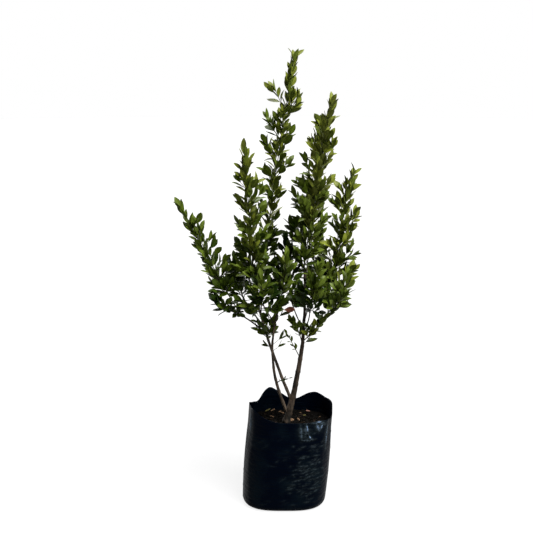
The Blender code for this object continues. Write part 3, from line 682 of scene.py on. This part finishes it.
def dress_shoot(points, leafy, vigour, tint, rng, radii, kind, turn, depth, splay=0):
    """Pairs of leaves from a shoot's tip backwards. A leader has depth 0, a shoot in an axil 2."""
    twig_rows.append((points, radii, kind))
    spacing = NODE_SPACINGS[depth]
    count = max(1, round(leafy / spacing))
    for node in range(count):
        open_share = min(1.0, OPENING_RATE * node / max(count, 4))
        place, direction = back_along(points, LAST_NODE + node * spacing * rng.uniform(*NODE_SPREAD))
        length = LEAF_LENGTH * vigour * (TIP_SIZES[node] if node < len(TIP_SIZES) else 1.0)
        opening = OPENING[0] + (OPENING[1] - OPENING[0]) * open_share
        if node == 0:
            heart = SPLAYED_HEART if splay else HEART_SIZES[depth]
            set_pair(place, direction, turn + math.pi / 2, HEART_OPENING, heart * length, tint, rng)
            opening += splay
        set_pair(place, direction, turn, opening, length, tint, rng)
        if depth < 2 and node >= BARE_AXILS[depth] and rng.random() < AXIL_SHARES[depth]:
            side = side_of(direction, turn + rng.choice((0, math.pi)))
            way = (direction + side * rng.uniform(*AXIL_LEAN) + UP * AXIL_LIFT).normalized()
            reach = rng.uniform(*AXIL_LENGTHS) * vigour
            dress_shoot([place, place + way * reach], reach, AXIL_VIGOUR * vigour, tint, rng,
                        AXIL_RADII, "green", rng.uniform(0, math.pi), depth=2)
        turn += math.pi / 2 + rng.uniform(-TURN_SPREAD, TURN_SPREAD)


# %% Growth
FINER_REACH = 0.84  # of the finer side shoots, over the first ones
FINER_COUNT = 1.4  # the same for their number
LEAFY_SHARE = 0.84  # how much of a leader has leaves
END_LEAVES = 0.007  # a twig ends this far short of the solid's shoot
LEADER_RADII = (0.0021, 0.0007)  # at the foot and at the tip
SPRAY_RADII = (0.0015, 0.0007)  # of a leader that starts part way along its limb
SHOOT_RADII = (0.0011, 0.0006)
STRAY_RADII = (0.0007, 0.0005)
FIRST_TURN = 0.5
GREEN_HEIGHT = 0.68  # twigs that end above it are green, and the others brown
SPIRE_HEIGHT = 0.7  # the masses with a higher tip are spires
SMALLEST_VIGOUR = 0.14  # of leaves on a mass with no reach
VIGOUR_REACH = 0.055  # the reach that adds a full size
LOW_VIGOUR = 0.88  # of a mass that isn't a spire
SPLAYED_TIPS = {"tall_spire": 32, "far_right_spire": 14}  # how much wider the last open pair is
# How far a mass's tint is shifted, towards lighter tints above 0 and darker under it: painted light on some
# masses and painted shade on others.
PLAIN_SHADE = 0.04
SPRAY_SHADES = {"tall_spire": 0.15, "left_spire": 0.16, "far_left_spire": 0.18, "far_right_spire": 0.06,
                "centre_front": 0.12, "centre_back": -0.15, "front_low": -0.14, "right_front": -0.16,
                "right_shoulder": -0.14, "stem_spray": 0.3, "low_sprig": 0.3, "low_right_spray": 0.36,
                "low_left_spray": 0.36, "trunk_shoot": 0.4}
SPIRE_SPREAD, LOW_SPREAD = 0.12, 0.27  # of tints, on a spire and on a low mass
TINT_LEVELS = ((0.22, "shade"), (0.46, "deep"), (0.76, "mature"), (1.06, "olive"))
CROWN_FOOT, CROWN_TOP = 0.44, 1.14
CROWN_AXIS = Vector((-0.01, 0.0, 0.0))
CROWN_REACH = 0.24
STRAY_CLIMB = 0.8  # rise for each metre outwards
# Short shoots on bare wood, by limb: share of the limb, direction, length, leaf size.
STRAYS = [
    ("stem_middle", [(0.5, 195, 0.008, 0.7), (0.62, 350, 0.01, 0.8), (0.72, 190, 0.014, 0.85),
        (0.86, 205, 0.01, 0.8)]),
    ("stem_left", [(0.6, 350, 0.018, 0.8), (0.66, 10, 0.02, 0.8), (0.84, 200, 0.012, 0.8),
        (0.9, 350, 0.012, 0.8)]),
    ("bough_low_left", [(0.62, 215, 0.012, 0.85), (0.96, 200, 0.016, 0.9), (0.99, 230, 0.012, 0.9)]),
    ("bough_front", [(0.5, 220, 0.01, 0.8)]),
    ("trunk", [(0.52, 345, 0.012, 0.85), (0.6, 10, 0.012, 0.9)]),
    ("bough_right", [(0.3, 300, 0.012, 0.9), (0.6, 330, 0.014, 0.95), (0.78, 340, 0.014, 1.0),
        (0.92, 250, 0.016, 1.0)]),
    ("bough_right_shoulder", [(0.7, 280, 0.012, 0.95)]),
    ("bough_left_shoulder", [(0.35, 210, 0.012, 0.9), (0.6, 180, 0.012, 0.9)]),
    ("stem_middle", [(0.8, 150, 0.016, 0.9)]),
    ("stem_left", [(0.94, 190, 0.014, 0.9)]),
    ("bough_front", [(0.2, 200, 0.012, 0.9)]),
]
# The one withered leaf: where it joins its stalk, its direction, the way its face looks, and its length,
# width, fold and curl.
RUST_LEAF = (Vector((-0.004, -0.05, 0.52)), Vector((0.98, -0.1, 0.1)).normalized(),
             Vector((0.1, -0.9, 0.4)).normalized(), 0.031, 0.015, 0.2, 0.05)


def tint_for(tip_point, shade, spread, rng, high=0.75, wide=0.4, lit=0.85):
    """A spray's tint: yellower where its leaves are young, at the top and outside; lighter on the lamp's
    side as painted light, and darker deep inside, from older leaves and painted shade.
    """
    height = (tip_point.z - CROWN_FOOT) / (CROWN_TOP - CROWN_FOOT)
    away = tip_point - CROWN_AXIS - UP * tip_point.z
    # Painted light: a spray on the lamp's side gets a lighter tint.
    sunny = away.dot(LIGHT) / CROWN_REACH
    level = high * height + wide * away.length / CROWN_REACH + lit * sunny + rng.uniform(-spread, spread)
    for limit, tint in TINT_LEVELS:
        if level + shade < limit:
            return tint
    return "young"


for name, _, share, _, tip, reach, slant, count in MASSES:
    seed = sum(map(ord, name))
    path = leaders[name][2]
    strong = STRONG_SHOOTS.get(name, [])
    shoots = list(side_shoots(path, reach, slant, count, strong, random.Random(SEED + seed)))
    rng = random.Random(SEED + 7 * seed)
    shoots += side_shoots(path, FINER_REACH * reach, slant, round(FINER_COUNT * count), [], rng)
    spread, size = (SPIRE_SPREAD, 1.0) if tip[2] > SPIRE_HEIGHT else (LOW_SPREAD, LOW_VIGOUR)
    vigour = size * min(1.0, SMALLEST_VIGOUR + reach / VIGOUR_REACH)
    leader = [on_path(path, i / 24) for i in range(25)]
    leader_radii = LEADER_RADII if share == 1.0 else SPRAY_RADII
    lines = [(leader, LEAFY_SHARE * length_of(leader), leader_radii, FIRST_TURN, 0)]
    for foot, direction, length in shoots:
        if owner(shoot_points(foot, direction, length)[-1]) == name:
            wood = max(SHORTEST_SHOOT, length - END_LEAVES)
            points = shoot_points(foot, direction, wood)
            lines.append((points, wood, SHOOT_RADII, rng.uniform(0, math.pi), 1))
    for points, leafy, radii, turn, depth in lines:
        tint = tint_for(points[-1], SPRAY_SHADES.get(name, PLAIN_SHADE), spread, rng)
        kind = "green" if points[-1].z > GREEN_HEIGHT else "brown"
        splay = SPLAYED_TIPS.get(name, 0) if depth == 0 else 0
        dress_shoot(points, leafy, vigour, tint, rng, radii, kind, turn, depth, splay)

rng = random.Random(SEED)
for limb, shoots in STRAYS:
    for share, angle, length, size in shoots:
        foot = on_path(limbs[limb][0], share)
        angle = math.radians(angle)
        way = Vector((math.cos(angle), math.sin(angle), STRAY_CLIMB)).normalized()
        dress_shoot([foot, foot + way * length], length, size, "deep", rng, STRAY_RADII, "brown", 0.0, 2)
twig_rows.append(([on_path(limbs["stem_left"][0], 1.0), RUST_LEAF[0]], STRAY_RADII, "brown"))
leaf_rows["rust"].append(RUST_LEAF)
print({tint: len(rows) for tint, rows in leaf_rows.items()}, "leaves,", len(twig_rows), "twigs")

# %% [markdown]
# ## Leaf blades
#
# A leaf is a closed blade with an upper and a lower sheet that share their rim. It is widest a little
# past its middle, narrows to a stalk and a blunt point, folds up along its midrib and curls back at its
# tip. One table of places on a leaf and one row of sizes for each leaf give all leaves of a tint at
# once. The rim is a sharp edge, so that the shading of one side doesn't run over to the other.

# %% Leaf arrays
STATIONS = (0.0, 0.1, 0.24, 0.4, 0.56, 0.72, 0.87, 1.0)  # along the leaf
HALF_WIDTHS = (0.0, 0.11, 0.52, 0.86, 1.0, 0.88, 0.5, 0.0)  # shares of the half width
ROUND_BLADE = ((-1.0, 0), (0.0, 1), (1.0, 0), (0.0, 0))  # place across and sheet: rim, under, rim, upper
BLADE_THICKNESS = 0.00045


def leaf_template():
    """Places on a leaf (along, across, half width, sheet), the faces between them, and their slots."""
    corners = [(station, across, half_width, sheet) if half_width else (station, 0.0, 0.0, 0)
               for station, half_width in zip(STATIONS, HALF_WIDTHS) for across, sheet in ROUND_BLADE]
    places = list(dict.fromkeys(corners))
    faces = [tuple(dict.fromkeys(places.index(corners[i]) for i in face))
             for face in ring_faces(len(STATIONS), len(ROUND_BLADE))]
    return np.array(places), faces, [1, 1, 0, 0] * (len(STATIONS) - 1)


PLACES, LEAF_FACES, LEAF_SLOTS = leaf_template()


def leaf_points(rows, curl_power=2.4, shortening=0.25):
    """Every point of every leaf, as an array of leaves by places by 3."""
    root, along, face = (np.array([row[i] for row in rows])[:, None, :] for i in range(3))
    length, width, fold, curl = (np.array([row[i] for row in rows])[:, None] for i in range(3, 7))
    side = np.cross(along, face)
    share, across, half, under = PLACES.T
    out = 0.5 * width * half * across
    lift = fold * np.abs(out) - curl * length * share ** curl_power - BLADE_THICKNESS * under
    reach = length * share * (1 - shortening * curl * share)
    return root + along * reach[..., None] + side * out[..., None] + face * lift[..., None]


def build_leaves(tint, rows):
    leaves = Piece()
    leaves.points = leaf_points(rows).reshape(-1, 3).tolist()
    leaves.slots = LEAF_SLOTS * len(rows)
    for start in range(0, len(leaves.points), len(PLACES)):
        leaves.faces.extend([tuple(start + i for i in face) for face in LEAF_FACES])
    item = leaves.build("leaves_" + tint, leaf_materials[tint])
    mesh = item.data
    corners = np.zeros(len(mesh.loops), np.int32)
    mesh.loops.foreach_get("vertex_index", corners)
    uv = np.stack([0.5 + 0.5 * PLACES[:, 1] * PLACES[:, 2], PLACES[:, 0]], axis=1)[corners % len(PLACES)]
    mesh.uv_layers.new(name="leaf").uv.foreach_set("vector", uv.ravel().astype(np.float32))
    bm = bmesh.new()
    bm.from_mesh(mesh)
    for edge in bm.edges:
        first, second = edge.link_faces
        edge.smooth = first.material_index == second.material_index
    bm.to_mesh(mesh)
    bm.free()


# %% Leaves and twigs as pieces
for tint, rows in leaf_rows.items():
    if rows:
        build_leaves(tint, rows)
for kind, material in (("green", green_skin), ("brown", twig_skin)):
    twigs = Piece()
    for points, (foot, end), twig_kind in twig_rows:
        if twig_kind == kind:
            radii = [foot + (end - foot) * i / (len(points) - 1) for i in range(len(points))]
            twigs.add_tube(points, radii, sides=6)
    item = twigs.build("twigs_" + kind, [material])
    if kind == "green":
        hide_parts(*[entry[0] for entry in MASSES])

# %% [markdown]
# ## The planter bag
#
# The bag is a tube of film with two side gussets, sealed flat at the base and filled. The mix pushes it
# into a soft square, and its seams stay as four upright corners. The film crumples where it was
# gathered and handled: short creases, mostly level, and a fold at the front right where the rim was
# turned over. Cloth simulation would bulge it evenly and lose those creases, so each crease is a line
# on the film, and a point near it moves out by an amount that fades across the line. The sheet runs over
# the rim and down inside to below the mix, so the film has a thickness wherever it is seen.

# %% Bag form
BAG_WIDTH = 0.218
BAG_DEPTH = 0.2
BAG_TOP = 0.246
BAG_LEAN = 0.017
BAG_SWELL = 0.003
BAG_BASE_ROUND = 0.014
MEAN_RADIUS = 0.108
BAG_SQUARENESS = 3.0
# The mouth's edge: direction and height.
RIM_POINTS = [(0, 0.256), (38, 0.248), (52, 0.257), (62, 0.252), (78, 0.234), (92, 0.237), (120, 0.27),
              (128, 0.259), (136, 0.232), (150, 0.239), (165, 0.25), (180, 0.26), (200, 0.266),
              (217, 0.266), (230, 0.253), (247, 0.243), (262, 0.241), (292, 0.241), (307, 0.245),
              (345, 0.236)]
RIM_WAVE_START = 0.6  # share of the height where the mouth's waves start
RIM_ROUNDING = (-3, -1, 1, 3)


def bag_grid(angle, out, rise, inset):
    """Points of the bag. Arrays of angles, shares of the way out, and heights."""
    half_width = 0.5 * BAG_WIDTH - inset
    half_depth = 0.5 * BAG_DEPTH - inset
    outline = (np.abs(np.cos(angle) / half_width) ** BAG_SQUARENESS
               + np.abs(np.sin(angle) / half_depth) ** BAG_SQUARENESS) ** (-1 / BAG_SQUARENESS)
    swell = BAG_SWELL * np.sin(np.pi * np.minimum(rise / SOIL_LEVEL, 1.0))
    radius = out * (outline + swell)
    return np.stack([radius * np.cos(angle) + BAG_LEAN * rise / BAG_TOP, radius * np.sin(angle), rise], -1)


def rim_rise(angle):
    """Height of the mouth's edge in each direction, with its corners rounded a little."""
    degrees, heights = zip(*RIM_POINTS)
    around = [np.interp(np.degrees(angle) + step, degrees, heights, period=360) for step in RIM_ROUNDING]
    return sum(around) / len(around)


# %% Creases of the film
CORNERS = (40, 140, 217, 316)
# The turned-over flap: start and end of each line, width, and how bright its painted highlight is.
FLAP = [(291, 0.241, 295, 0.209, 0.0016, 1.0), (295, 0.209, 300.5, 0.1955, 0.0016, 0.98),
        (286.5, 0.1955, 300.5, 0.1955, 0.0014, 0.76), (283, 0.236, 286.5, 0.1965, 0.004, 0.55),
        (304, 0.239, 309, 0.217, 0.003, 0.84), (309, 0.217, 313, 0.236, 0.0024, 0.88),
        (298, 0.24, 314, 0.243, 0.0026, 0.78), (322, 0.24, 321, 0.165, 0.0032, 0.6),
        (334, 0.236, 333, 0.15, 0.003, 0.5), (209, 0.262, 211, 0.196, 0.0055, 0.62),
        (198, 0.25, 196, 0.012, 0.0014, 0.5), (290, 0.234, 291, 0.206, 0.008, 0.44),
        (305, 0.236, 319, 0.232, 0.008, 0.42)]


def crease_lines(rng, flap_proud=0.002, count=260, gripped_share=0.55, side=(295, 13),
                 heights=(0.095, 0.045), loose_heights=(0.012, 0.215), lengths=(3, 13),
                 climbs=(0.0005, 0.00045), prouds=(0.0005, 0.0015), ways=(1, 1, -1), loose_proud=0.6,
                 widths=(0.001, 0.0022), pales=(0.04, 0.34), loose_pales=(0.0, 0.12)):
    """Ends of each crease, how proud it is, how wide, and how bright its painted highlight is: the flap's,
    then the crinkles'.

    A share of the crinkles lie where the film was gripped, and there the side, the heights and the climb
    for each degree are a mean and a spread. The rest are fainter and lie anywhere.
    """
    lines = [(*line[:4], flap_proud, *line[4:]) for line in FLAP]
    for _ in range(count):
        gripped = rng.random() < gripped_share
        angle = rng.gauss(*side) if gripped else rng.uniform(0, 360)
        height = rng.gauss(*heights) if gripped else rng.uniform(*loose_heights)
        length = rng.uniform(*lengths)
        climb = rng.gauss(*climbs) * length
        proud = rng.uniform(*prouds) * rng.choice(ways) * (1.0 if gripped else loose_proud)
        width = rng.uniform(*widths)
        pale = rng.uniform(*(pales if gripped else loose_pales))
        lines.append((angle, height, angle + length, height + climb, proud, width, pale))
    return lines


def film_relief(angle, rise, corner_proud=0.0014, foot_share=0.35, gain=2.6, corner_width=4.5, waver=2.0,
                waves=38, ends=(0.12, 0.88), pale_gain=1.6):
    """How far each point of the film stands out of the plain form, and how pale its painted crease highlight
    is.
    """
    relief = np.zeros_like(angle)
    pale = np.zeros_like(angle)
    degrees = np.degrees(angle)
    for corner in CORNERS:
        away = (degrees + waver * np.sin(rise * waves + corner) - corner + 180) % 360 - 180
        relief += corner_proud * (foot_share + gain * rise) * np.exp(-(away / corner_width) ** 2)
    for start, low, end, high, proud, width, paleness in crease_lines(random.Random(SEED)):
        away = np.radians((degrees - start + 180) % 360 - 180) * MEAN_RADIUS
        run = math.radians(end - start) * MEAN_RADIUS
        climb = high - low
        share = np.clip((away * run + (rise - low) * climb) / (run * run + climb * climb), 0, 1)
        distance = np.hypot(away - share * run, rise - low - share * climb)
        fade = np.sin(np.pi * np.clip(share, *ends)) * np.exp(-distance / width)
        relief += proud * fade
        # Painted highlight: the brightest crease near a point sets how pale the film is painted there.
        pale = np.maximum(pale, paleness * np.minimum(1.0, pale_gain * fade))
    return relief, pale


# %% Bag mesh
FILM = 0.0006
INSET = 0.0012  # room for creases inside the solid's outline
PLAIN_HEIGHT = 0.012  # the creases fade out below it
FRONT = (200, 340)  # the side seen closest has the finest mesh
COLUMN_STEPS = (0.5, 1.5)  # at the front and elsewhere


def film_profile(base_shares=(0.12, 0.45, 0.72), arc=15, wall=168, lining=14, lining_foot=0.185):
    """Rows of the sheet from the middle of the base, up the wall, over the rim and down inside."""
    round_share = BAG_BASE_ROUND / (0.5 * BAG_WIDTH)
    rows = [(share, 0.0, INSET) for share in base_shares]
    for degrees in range(0, 91, arc):
        turn = math.radians(degrees)
        rows.append((1 - round_share * (1 - math.sin(turn)), BAG_BASE_ROUND * (1 - math.cos(turn)), INSET))
    for i in range(1, wall + 1):
        rows.append((1.0, BAG_BASE_ROUND + (BAG_TOP - BAG_BASE_ROUND) * i / wall, INSET))
    for i in range(lining + 1):
        rows.append((1.0, BAG_TOP + (lining_foot - BAG_TOP) * i / lining, INSET + FILM))
    return rows


front = np.arange(*FRONT, COLUMN_STEPS[0])
others = np.arange(FRONT[1], FRONT[0] + 360, COLUMN_STEPS[1])
columns_at = np.sort(np.radians(np.concatenate([front, others]) % 360))
out, rise, inset = (np.array(column)[:, None] * np.ones(len(columns_at)) for column in zip(*film_profile()))
angle = np.ones_like(rise) * columns_at
waved = np.maximum(0.0, rise / BAG_TOP - RIM_WAVE_START) / (1 - RIM_WAVE_START)
risen = rise * (1 + (rim_rise(angle) / BAG_TOP - 1) * waved)
relief, pale = film_relief(angle, risen)
relief = relief * np.clip(risen / PLAIN_HEIGHT, 0, 1) - inset * (out > 0.9)
outward = np.stack([np.cos(angle), np.sin(angle), np.zeros_like(angle)], -1)
points = bag_grid(angle, out, risen, 0.0) + outward * relief[..., None]
bag = Piece()
base = tuple(range(len(columns_at)))[::-1]
bag.add_shape(points.reshape(-1, 3).tolist(), [*ring_faces(*angle.shape), base])
bag_item = bag.build("bag_film", [film])
# The painted crease highlights go on the mesh, where the film's material reads them.
crease_highlight = bag_item.data.attributes.new("crease_highlight", "FLOAT", "POINT")
crease_highlight.data.foreach_set("value", pale.ravel().astype(np.float32))
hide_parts("bag")

# %% [markdown]
# ## The potting mix
#
# Composted bark has no smooth surface: it is crumbs of every size, with flat chips lying among them. The
# mix is a dished sheet with coarse relief, and several hundred crumbs and chips are set into it.

# %% Mix surface
SOIL_DISH = 0.004
SOIL_CLEAR = 0.003  # between the mix and the outside of the film
SOIL_RINGS = np.linspace(0.02, 1.0, 44)
SPOKES = 120


def mix_height(x, y, middle=0.014, reach=0.1, lump=0.012, rise=0.0022, roughness=0.8, gap=2.0, octaves=4):
    """Height of the mix. The dish's middle is to the right, because the bag leans."""
    lumps = noise.fractal(Vector((x, y, 0.0)) / lump, roughness, gap, octaves)
    edge = min(1.0, math.hypot(x - middle, y) / reach)
    return SOIL_LEVEL - SOIL_DISH * edge ** 2 + rise * lumps


mix = Piece()
mix_points = []
spoke_angles = np.linspace(0, 2 * np.pi, SPOKES, endpoint=False)
level = np.full(SPOKES, SOIL_LEVEL - SOIL_DISH)
for share in SOIL_RINGS:
    for x, y, _ in bag_grid(spoke_angles, np.full(SPOKES, share), level, SOIL_CLEAR):
        mix_points.append((x, y, mix_height(x, y)))
mix.add_shape(mix_points, [*ring_faces(len(SOIL_RINGS), SPOKES), tuple(range(SPOKES))[::-1]])
mix_item = mix.build("mix_surface", [compost])
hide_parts("soil")


# %% Crumbs and chips
def lump_template():
    bm = bmesh.new()
    bmesh.ops.create_icosphere(bm, subdivisions=2, radius=1)
    points = [vert.co.copy() for vert in bm.verts]
    faces = [tuple(vert.index for vert in face.verts) for face in bm.faces]
    bm.free()
    return points, faces


LUMP, LUMP_FACES = lump_template()
FULL_TURN = 6.28
CRUMBS = 420
CRUMB_SIZE = (0.0012, 0.0036)
LOOSE_CHIPS = 64
CHIP_LENGTH = (0.003, 0.007)
CHIP_SLOTS = (0, 0, 0, 0, 1)  # four dark chips for each tan one
# The chips that show most: place, heading, half length, half width, material.
CHIPS = [(-0.042, 0.08, 35, 0.009, 0.0022, 3), (-0.029, 0.086, 10, 0.007, 0.0028, 1),
         (-0.03, 0.037, 0, 0.0055, 0.0036, 1), (0.066, 0.076, 50, 0.0085, 0.0034, 2),
         (0.02, 0.01, 20, 0.0065, 0.0048, 1), (0.0385, 0.012, 105, 0.008, 0.003, 1),
         (0.055, 0.046, 15, 0.004, 0.0022, 3), (-0.002, 0.062, 160, 0.0045, 0.0026, 1)]


def add_lump(piece, rng, centre, sizes, slot, heading, waves=1.6, rough=0.3, boxy=0.7, tilt=0.25):
    """A rough lump of these half sizes, lying at a heading with a slight tilt."""
    shift = Vector((rng.uniform(0, 90), rng.uniform(0, 90), 0))
    turn = Matrix.Rotation(heading, 3, "Z") @ Matrix.Rotation(rng.gauss(0, tilt), 3, "X")
    turn = turn @ Matrix.Rotation(rng.gauss(0, tilt), 3, "Y")
    points = []
    for point in LUMP:
        swell = 1 + rough * noise.noise(point * waves + shift)
        boxed = Vector([math.copysign(abs(value) ** boxy, value) for value in point]) * swell
        points.append(centre + turn @ Vector([value * size for value, size in zip(boxed, sizes)]))
    piece.add_shape(points, LUMP_FACES, slot)


def on_mix(x, y, height):
    """A point this far above the mix."""
    return Vector((x, y, mix_height(x, y) + height))


def scattered(rng, shares, clear, evenness=0.6):
    """A random place on the mix, at shares of the way out and at least this far from the film."""
    turn, share = rng.uniform(0, 2 * math.pi), rng.uniform(*shares) ** evenness
    return bag_grid(np.array([turn]), np.array([share]), np.array([SOIL_LEVEL]), clear)[0][:2]


rng = random.Random(SEED)
crumbs = Piece()
for _ in range(CRUMBS):
    spot = scattered(rng, shares=(0.05, 0.96), clear=0.008)
    size = rng.uniform(*CRUMB_SIZE)
    sizes = (size * rng.uniform(1, 1.7), size, size * 0.8)
    add_lump(crumbs, rng, on_mix(*spot, 0.2 * size), sizes, 0, rng.uniform(0, FULL_TURN))
item = crumbs.build("mix_crumbs", [compost], smooth=False)

chips = Piece()
for x, y, heading, length, width, slot in CHIPS:
    add_lump(chips, rng, on_mix(x, y, 0.003), (length, width, 0.0016), slot, math.radians(heading))
for _ in range(LOOSE_CHIPS):
    spot = scattered(rng, shares=(0.1, 0.9), clear=0.014)
    length = rng.uniform(*CHIP_LENGTH)
    sizes = (length, 0.45 * length, 0.0009)
    add_lump(chips, rng, on_mix(*spot, 0.0012), sizes, rng.choice(CHIP_SLOTS), rng.uniform(0, FULL_TURN))
item = chips.build("bark_chips", [chip_dark, chip_tan, chip_pink, chip_green], smooth=False)

# %% [markdown]
# ## Studio
#
# A plain white floor, a wide soft light from the upper right front, a weaker one from the left rear, and
# a pale sky that is brightest near the horizon, as in a room with white walls. Area lamps would light a
# large floor unevenly, so both lights are sun lamps with a wide angle, whose shadows fade within a
# hand's width of the bag. The floor is grey paper that glows, so it darkens only close to the bag.

# %% Camera, floor and light
CAMERA_PLACE = (-0.045, -2.3, 1.129)
CAMERA_PITCH = math.radians(12.5)
FOCAL_PIXELS = 942
IMAGE_PIXELS = 533
SENSOR = 36  # millimetres
FLOOR_RADIUS = 16
FLOOR_GLOW = 0.81
FLOOR_GREY, WHITE = "#3c3c3c", "#ffffff"
# Name, strength, the angle it fills, the way its light goes.
SUNS = [("soft_key", 17.5, 45, -LIGHT), ("rear_fill", 6.5, 60, Vector((0.45, -0.72, -0.53)))]
HORIZON = (0.07, 0.22)  # sines of the heights between which the sky darkens
SKY_STRENGTHS = (1.0, 0.19)

scene = bpy.context.scene
camera = place_object("camera", bpy.data.cameras.new("camera"))
camera.location = CAMERA_PLACE
camera.rotation_euler = (math.pi / 2 - CAMERA_PITCH, 0, 0)
camera.data.sensor_width = SENSOR
camera.data.lens = SENSOR * FOCAL_PIXELS / IMAGE_PIXELS
camera.data.clip_end = 100
scene.camera = camera

floor_mesh = bpy.data.meshes.new("floor")
bm = bmesh.new()
bmesh.ops.create_circle(bm, cap_ends=True, segments=96, radius=FLOOR_RADIUS)
bm.to_mesh(floor_mesh)
bm.free()
floor = place_object("floor", floor_mesh)
paper, tree, shader = start_material("white_paper_floor", 0.9, specular=0.1)
shader.inputs["Base Color"].default_value = linear(FLOOR_GREY)
shader.inputs["Emission Color"].default_value = linear(WHITE)
shader.inputs["Emission Strength"].default_value = FLOOR_GLOW
floor_mesh.materials.append(paper)
floor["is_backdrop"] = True

for name, strength, width, way in SUNS:
    sun = place_object(name, bpy.data.lights.new(name, "SUN"))
    sun.data.energy = strength
    sun.data.angle = math.radians(width)
    sun.rotation_euler = way.to_track_quat("-Z", "Y").to_euler()

world = bpy.data.worlds.new("pale_room")
scene.world = world
world.use_nodes = True
tree = world.node_tree
tree.nodes.clear()
where = add(tree, "ShaderNodeTexCoord")
parts = add(tree, "ShaderNodeSeparateXYZ", {0: where.outputs["Generated"]})
level = rescale(tree, parts.outputs[2], *HORIZON, *SKY_STRENGTHS, interpolation_type="SMOOTHSTEP")
sky = add(tree, "ShaderNodeBackground", {"Color": linear(WHITE), "Strength": level})
add(tree, "ShaderNodeOutputWorld", {"Surface": sky.outputs[0]})
scene.view_settings.view_transform = "Standard"

# %% Size and finish
visual_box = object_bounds()
print_box("visual", visual_box)
